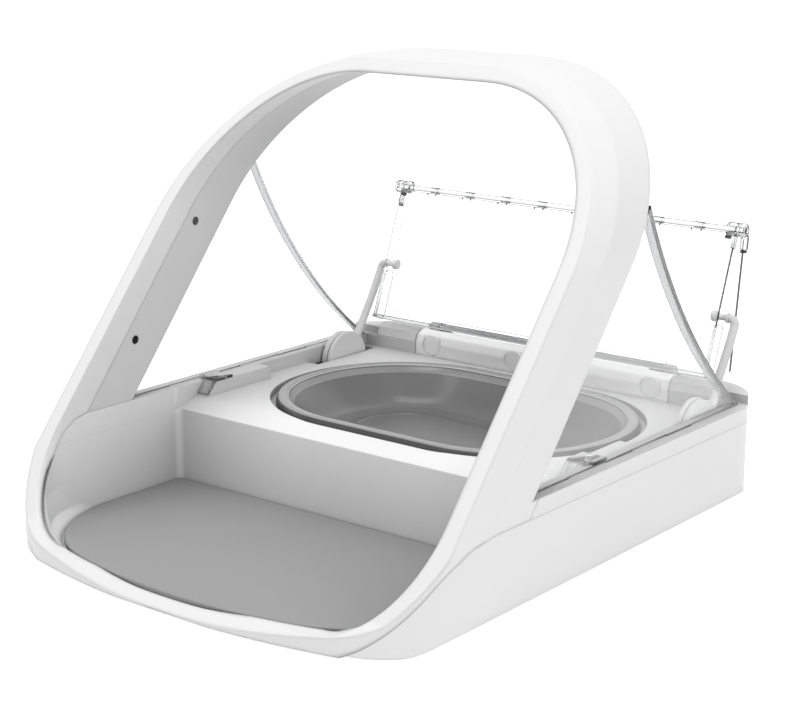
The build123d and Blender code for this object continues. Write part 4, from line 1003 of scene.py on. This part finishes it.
class FEEDER_OT_lid(bpy.types.Operator):
    """Build the two clear shutters of the lid and the rod they turn on"""

    bl_idname = "feeder.lid"
    bl_label = "Clear lid"

    def execute(self, context):
        finishes = clear_finishes(context)
        make_front_shutter(finishes)
        make_rear_shutter(finishes)
        rod = rounded_bar(-98.9, 98.9, *ROD, ROD_RADIUS, 0.3)
        # the rod's clear finish has painted dark edges
        make_piece("lid_rod", *rod, "rear_lid", "clear_plastic", [finishes[ROUND_PART]], ["shutter_rod"])
        steel = moulded("drawn steel", (0.62, 0.62, 0.63), 0.25, metal=1.0, grain=900.0, edge=0.0002)
        dress(["rear_hinge_pins", "tub_screws", "battery_contacts", "motor"], steel)
        return {"FINISHED"}


class FEEDER_OT_screens(bpy.types.Operator):
    """Build the clear side screens with their flanges, tongues and clips"""

    bl_idname = "feeder.screens"
    bl_label = "Side screens"

    def execute(self, context):
        finishes = clear_finishes(context)
        for side, name in ((-1, "left"), (1, "right")):
            make_screen(side, name, finishes)
        return {"FINISHED"}


class FEEDER_OT_arms(bpy.types.Operator):
    """Build the slim lift arms with their hub discs, and finish the drive behind them"""

    bl_idname = "feeder.arms"
    bl_label = "Lift arms and drive"

    def execute(self, context):
        shell = context.scene.feeder_colours.shell
        # painted shade: the arms are the shell's white made darker for the shade on them
        arm = moulded("arm white, painted darker", toned(shell, ARM_PAINTED_SHADE), roughness=0.36, edge=0.0006)
        natural = moulded("natural gear plastic", (0.78, 0.77, 0.72), roughness=0.5, edge=0.0002)
        for side, name in ((-1, "left"), (1, "right")):
            make_arm(side, name, arm)
        dress(["cross_shaft", "motor_pinion"], natural)
        return {"FINISHED"}


class FEEDER_OT_inside(bpy.types.Operator):
    """Finish the parts inside and underneath: boards, coil, cells, windows and feet"""

    bl_idname = "feeder.inside"
    bl_label = "Inside and underneath"

    def execute(self, context):
        board = moulded("board lacquer", (0.03, 0.16, 0.07), roughness=0.35, grain=400.0, height=0.3)
        dress(["ir_board_left", "ir_board_right", "main_board", "button_board"], board)
        copper = moulded("enamelled copper", (0.55, 0.25, 0.10), roughness=0.3, metal=1.0, grain=700.0)
        dress(["antenna_coil"], copper)
        window = moulded("dark window", (0.012, 0.012, 0.014), roughness=0.12, height=0.0, edge=0.0003)
        dress(["ir_windows"], window)
        case = moulded("cell sleeve", (0.05, 0.05, 0.055), roughness=0.3, edge=0.0006)
        dress([f"cell_{side}_{end}" for side in ("left", "right") for end in ("front", "rear")], case)
        rubber = moulded("foot rubber", (0.035, 0.035, 0.035), roughness=0.75, height=0.4)
        dress(["rubber_feet"], rubber)
        return {"FINISHED"}


class FEEDER_OT_bowl(bpy.types.Operator):
    """Build the smoky bowl and the grey mat"""

    bl_idname = "feeder.bowl"
    bl_label = "Bowl and mat"

    def execute(self, context):
        colours = context.scene.feeder_colours
        # painted light and shade: one smoky plastic, painted darker on the rim and ring and lighter on the
        # lip line and flange
        finishes = [
            smoky_plastic("smoky bowl", toned(colours.bowl, 1.0)),
            smoky_plastic("smoky bowl rim, painted shade", toned(colours.bowl, 0.45)),
            smoky_plastic("smoky bowl lip, painted highlight", toned(colours.bowl, 4.0)),
            smoky_plastic("smoky bowl raised ring, painted shade", toned(colours.bowl, 0.85)),
            smoky_plastic("smoky bowl flange, painted light", toned(colours.bowl, 2.0), roughness=0.16),
        ]
        make_bowl(finishes)
        matt = tuple(colours.mat)
        # the mat's grey is its own colour; it also gets painted shade in its hollows, near the walls and the
        # hood
        grey = moulded("mat rubber", matt, 0.7, tone=0.05, grain=1300.0, height=0.5, painted_hollow_shade=0.65)
        make_mat(grey, context.scene.feeder_sizes.mat_edge / MM)
        return {"FINISHED"}


class FEEDER_OT_stage(bpy.types.Operator):
    """Set the floor, the light and the camera"""

    bl_idname = "feeder.stage"
    bl_label = "Studio"

    def execute(self, context):
        scene = context.scene
        studio = scene.feeder_studio
        make_floor()
        make_sky(studio.sky)
        make_lamp("key lamp", KEY_PLACE, KEY_SIZE, studio.key)
        make_lamp("fill lamp", FILL_PLACE, FILL_SIZE, studio.fill)
        make_camera()
        scene.view_settings.view_transform = "Standard"
        return {"FINISHED"}


class FEEDER_PT_pieces(bpy.types.Panel):
    """The feeder's settings and the steps that build it"""

    bl_idname = "FEEDER_PT_pieces"
    bl_label = "Pet feeder"
    bl_space_type = "VIEW_3D"
    bl_region_type = "UI"
    bl_category = "Feeder"

    def draw(self, context):
        scene = context.scene
        for group in (scene.feeder_sizes, scene.feeder_colours, scene.feeder_studio):
            box = self.layout.box()
            for name in group.__annotations__:
                box.prop(group, name)
        for operator in OPERATORS:
            self.layout.operator(operator.bl_idname)


OPERATORS = (
    FEEDER_OT_shell,
    FEEDER_OT_lid,
    FEEDER_OT_screens,
    FEEDER_OT_arms,
    FEEDER_OT_inside,
    FEEDER_OT_bowl,
    FEEDER_OT_stage,
)
SETTINGS = (FeederSizes, FeederColours, FeederStudio)


def register():
    """Adds the settings, the operators and the panel to Blender."""
    for item in (*SETTINGS, *OPERATORS, FEEDER_PT_pieces):
        bpy.utils.register_class(item)
    bpy.types.Scene.feeder_sizes = bpy.props.PointerProperty(type=FeederSizes)
    bpy.types.Scene.feeder_colours = bpy.props.PointerProperty(type=FeederColours)
    bpy.types.Scene.feeder_studio = bpy.props.PointerProperty(type=FeederStudio)


def unregister():
    """Takes the settings, the operators and the panel away again."""
    for name in ("feeder_sizes", "feeder_colours", "feeder_studio"):
        delattr(bpy.types.Scene, name)
    for item in (FEEDER_PT_pieces, *reversed(OPERATORS), *reversed(SETTINGS)):
        bpy.utils.unregister_class(item)


def main():
    """Builds every piece and the stage."""
    register()
    for operator in OPERATORS:
        group, name = operator.bl_idname.split(".")
        getattr(getattr(bpy.ops, group), name)()


if __name__ == "__main__":
    main()
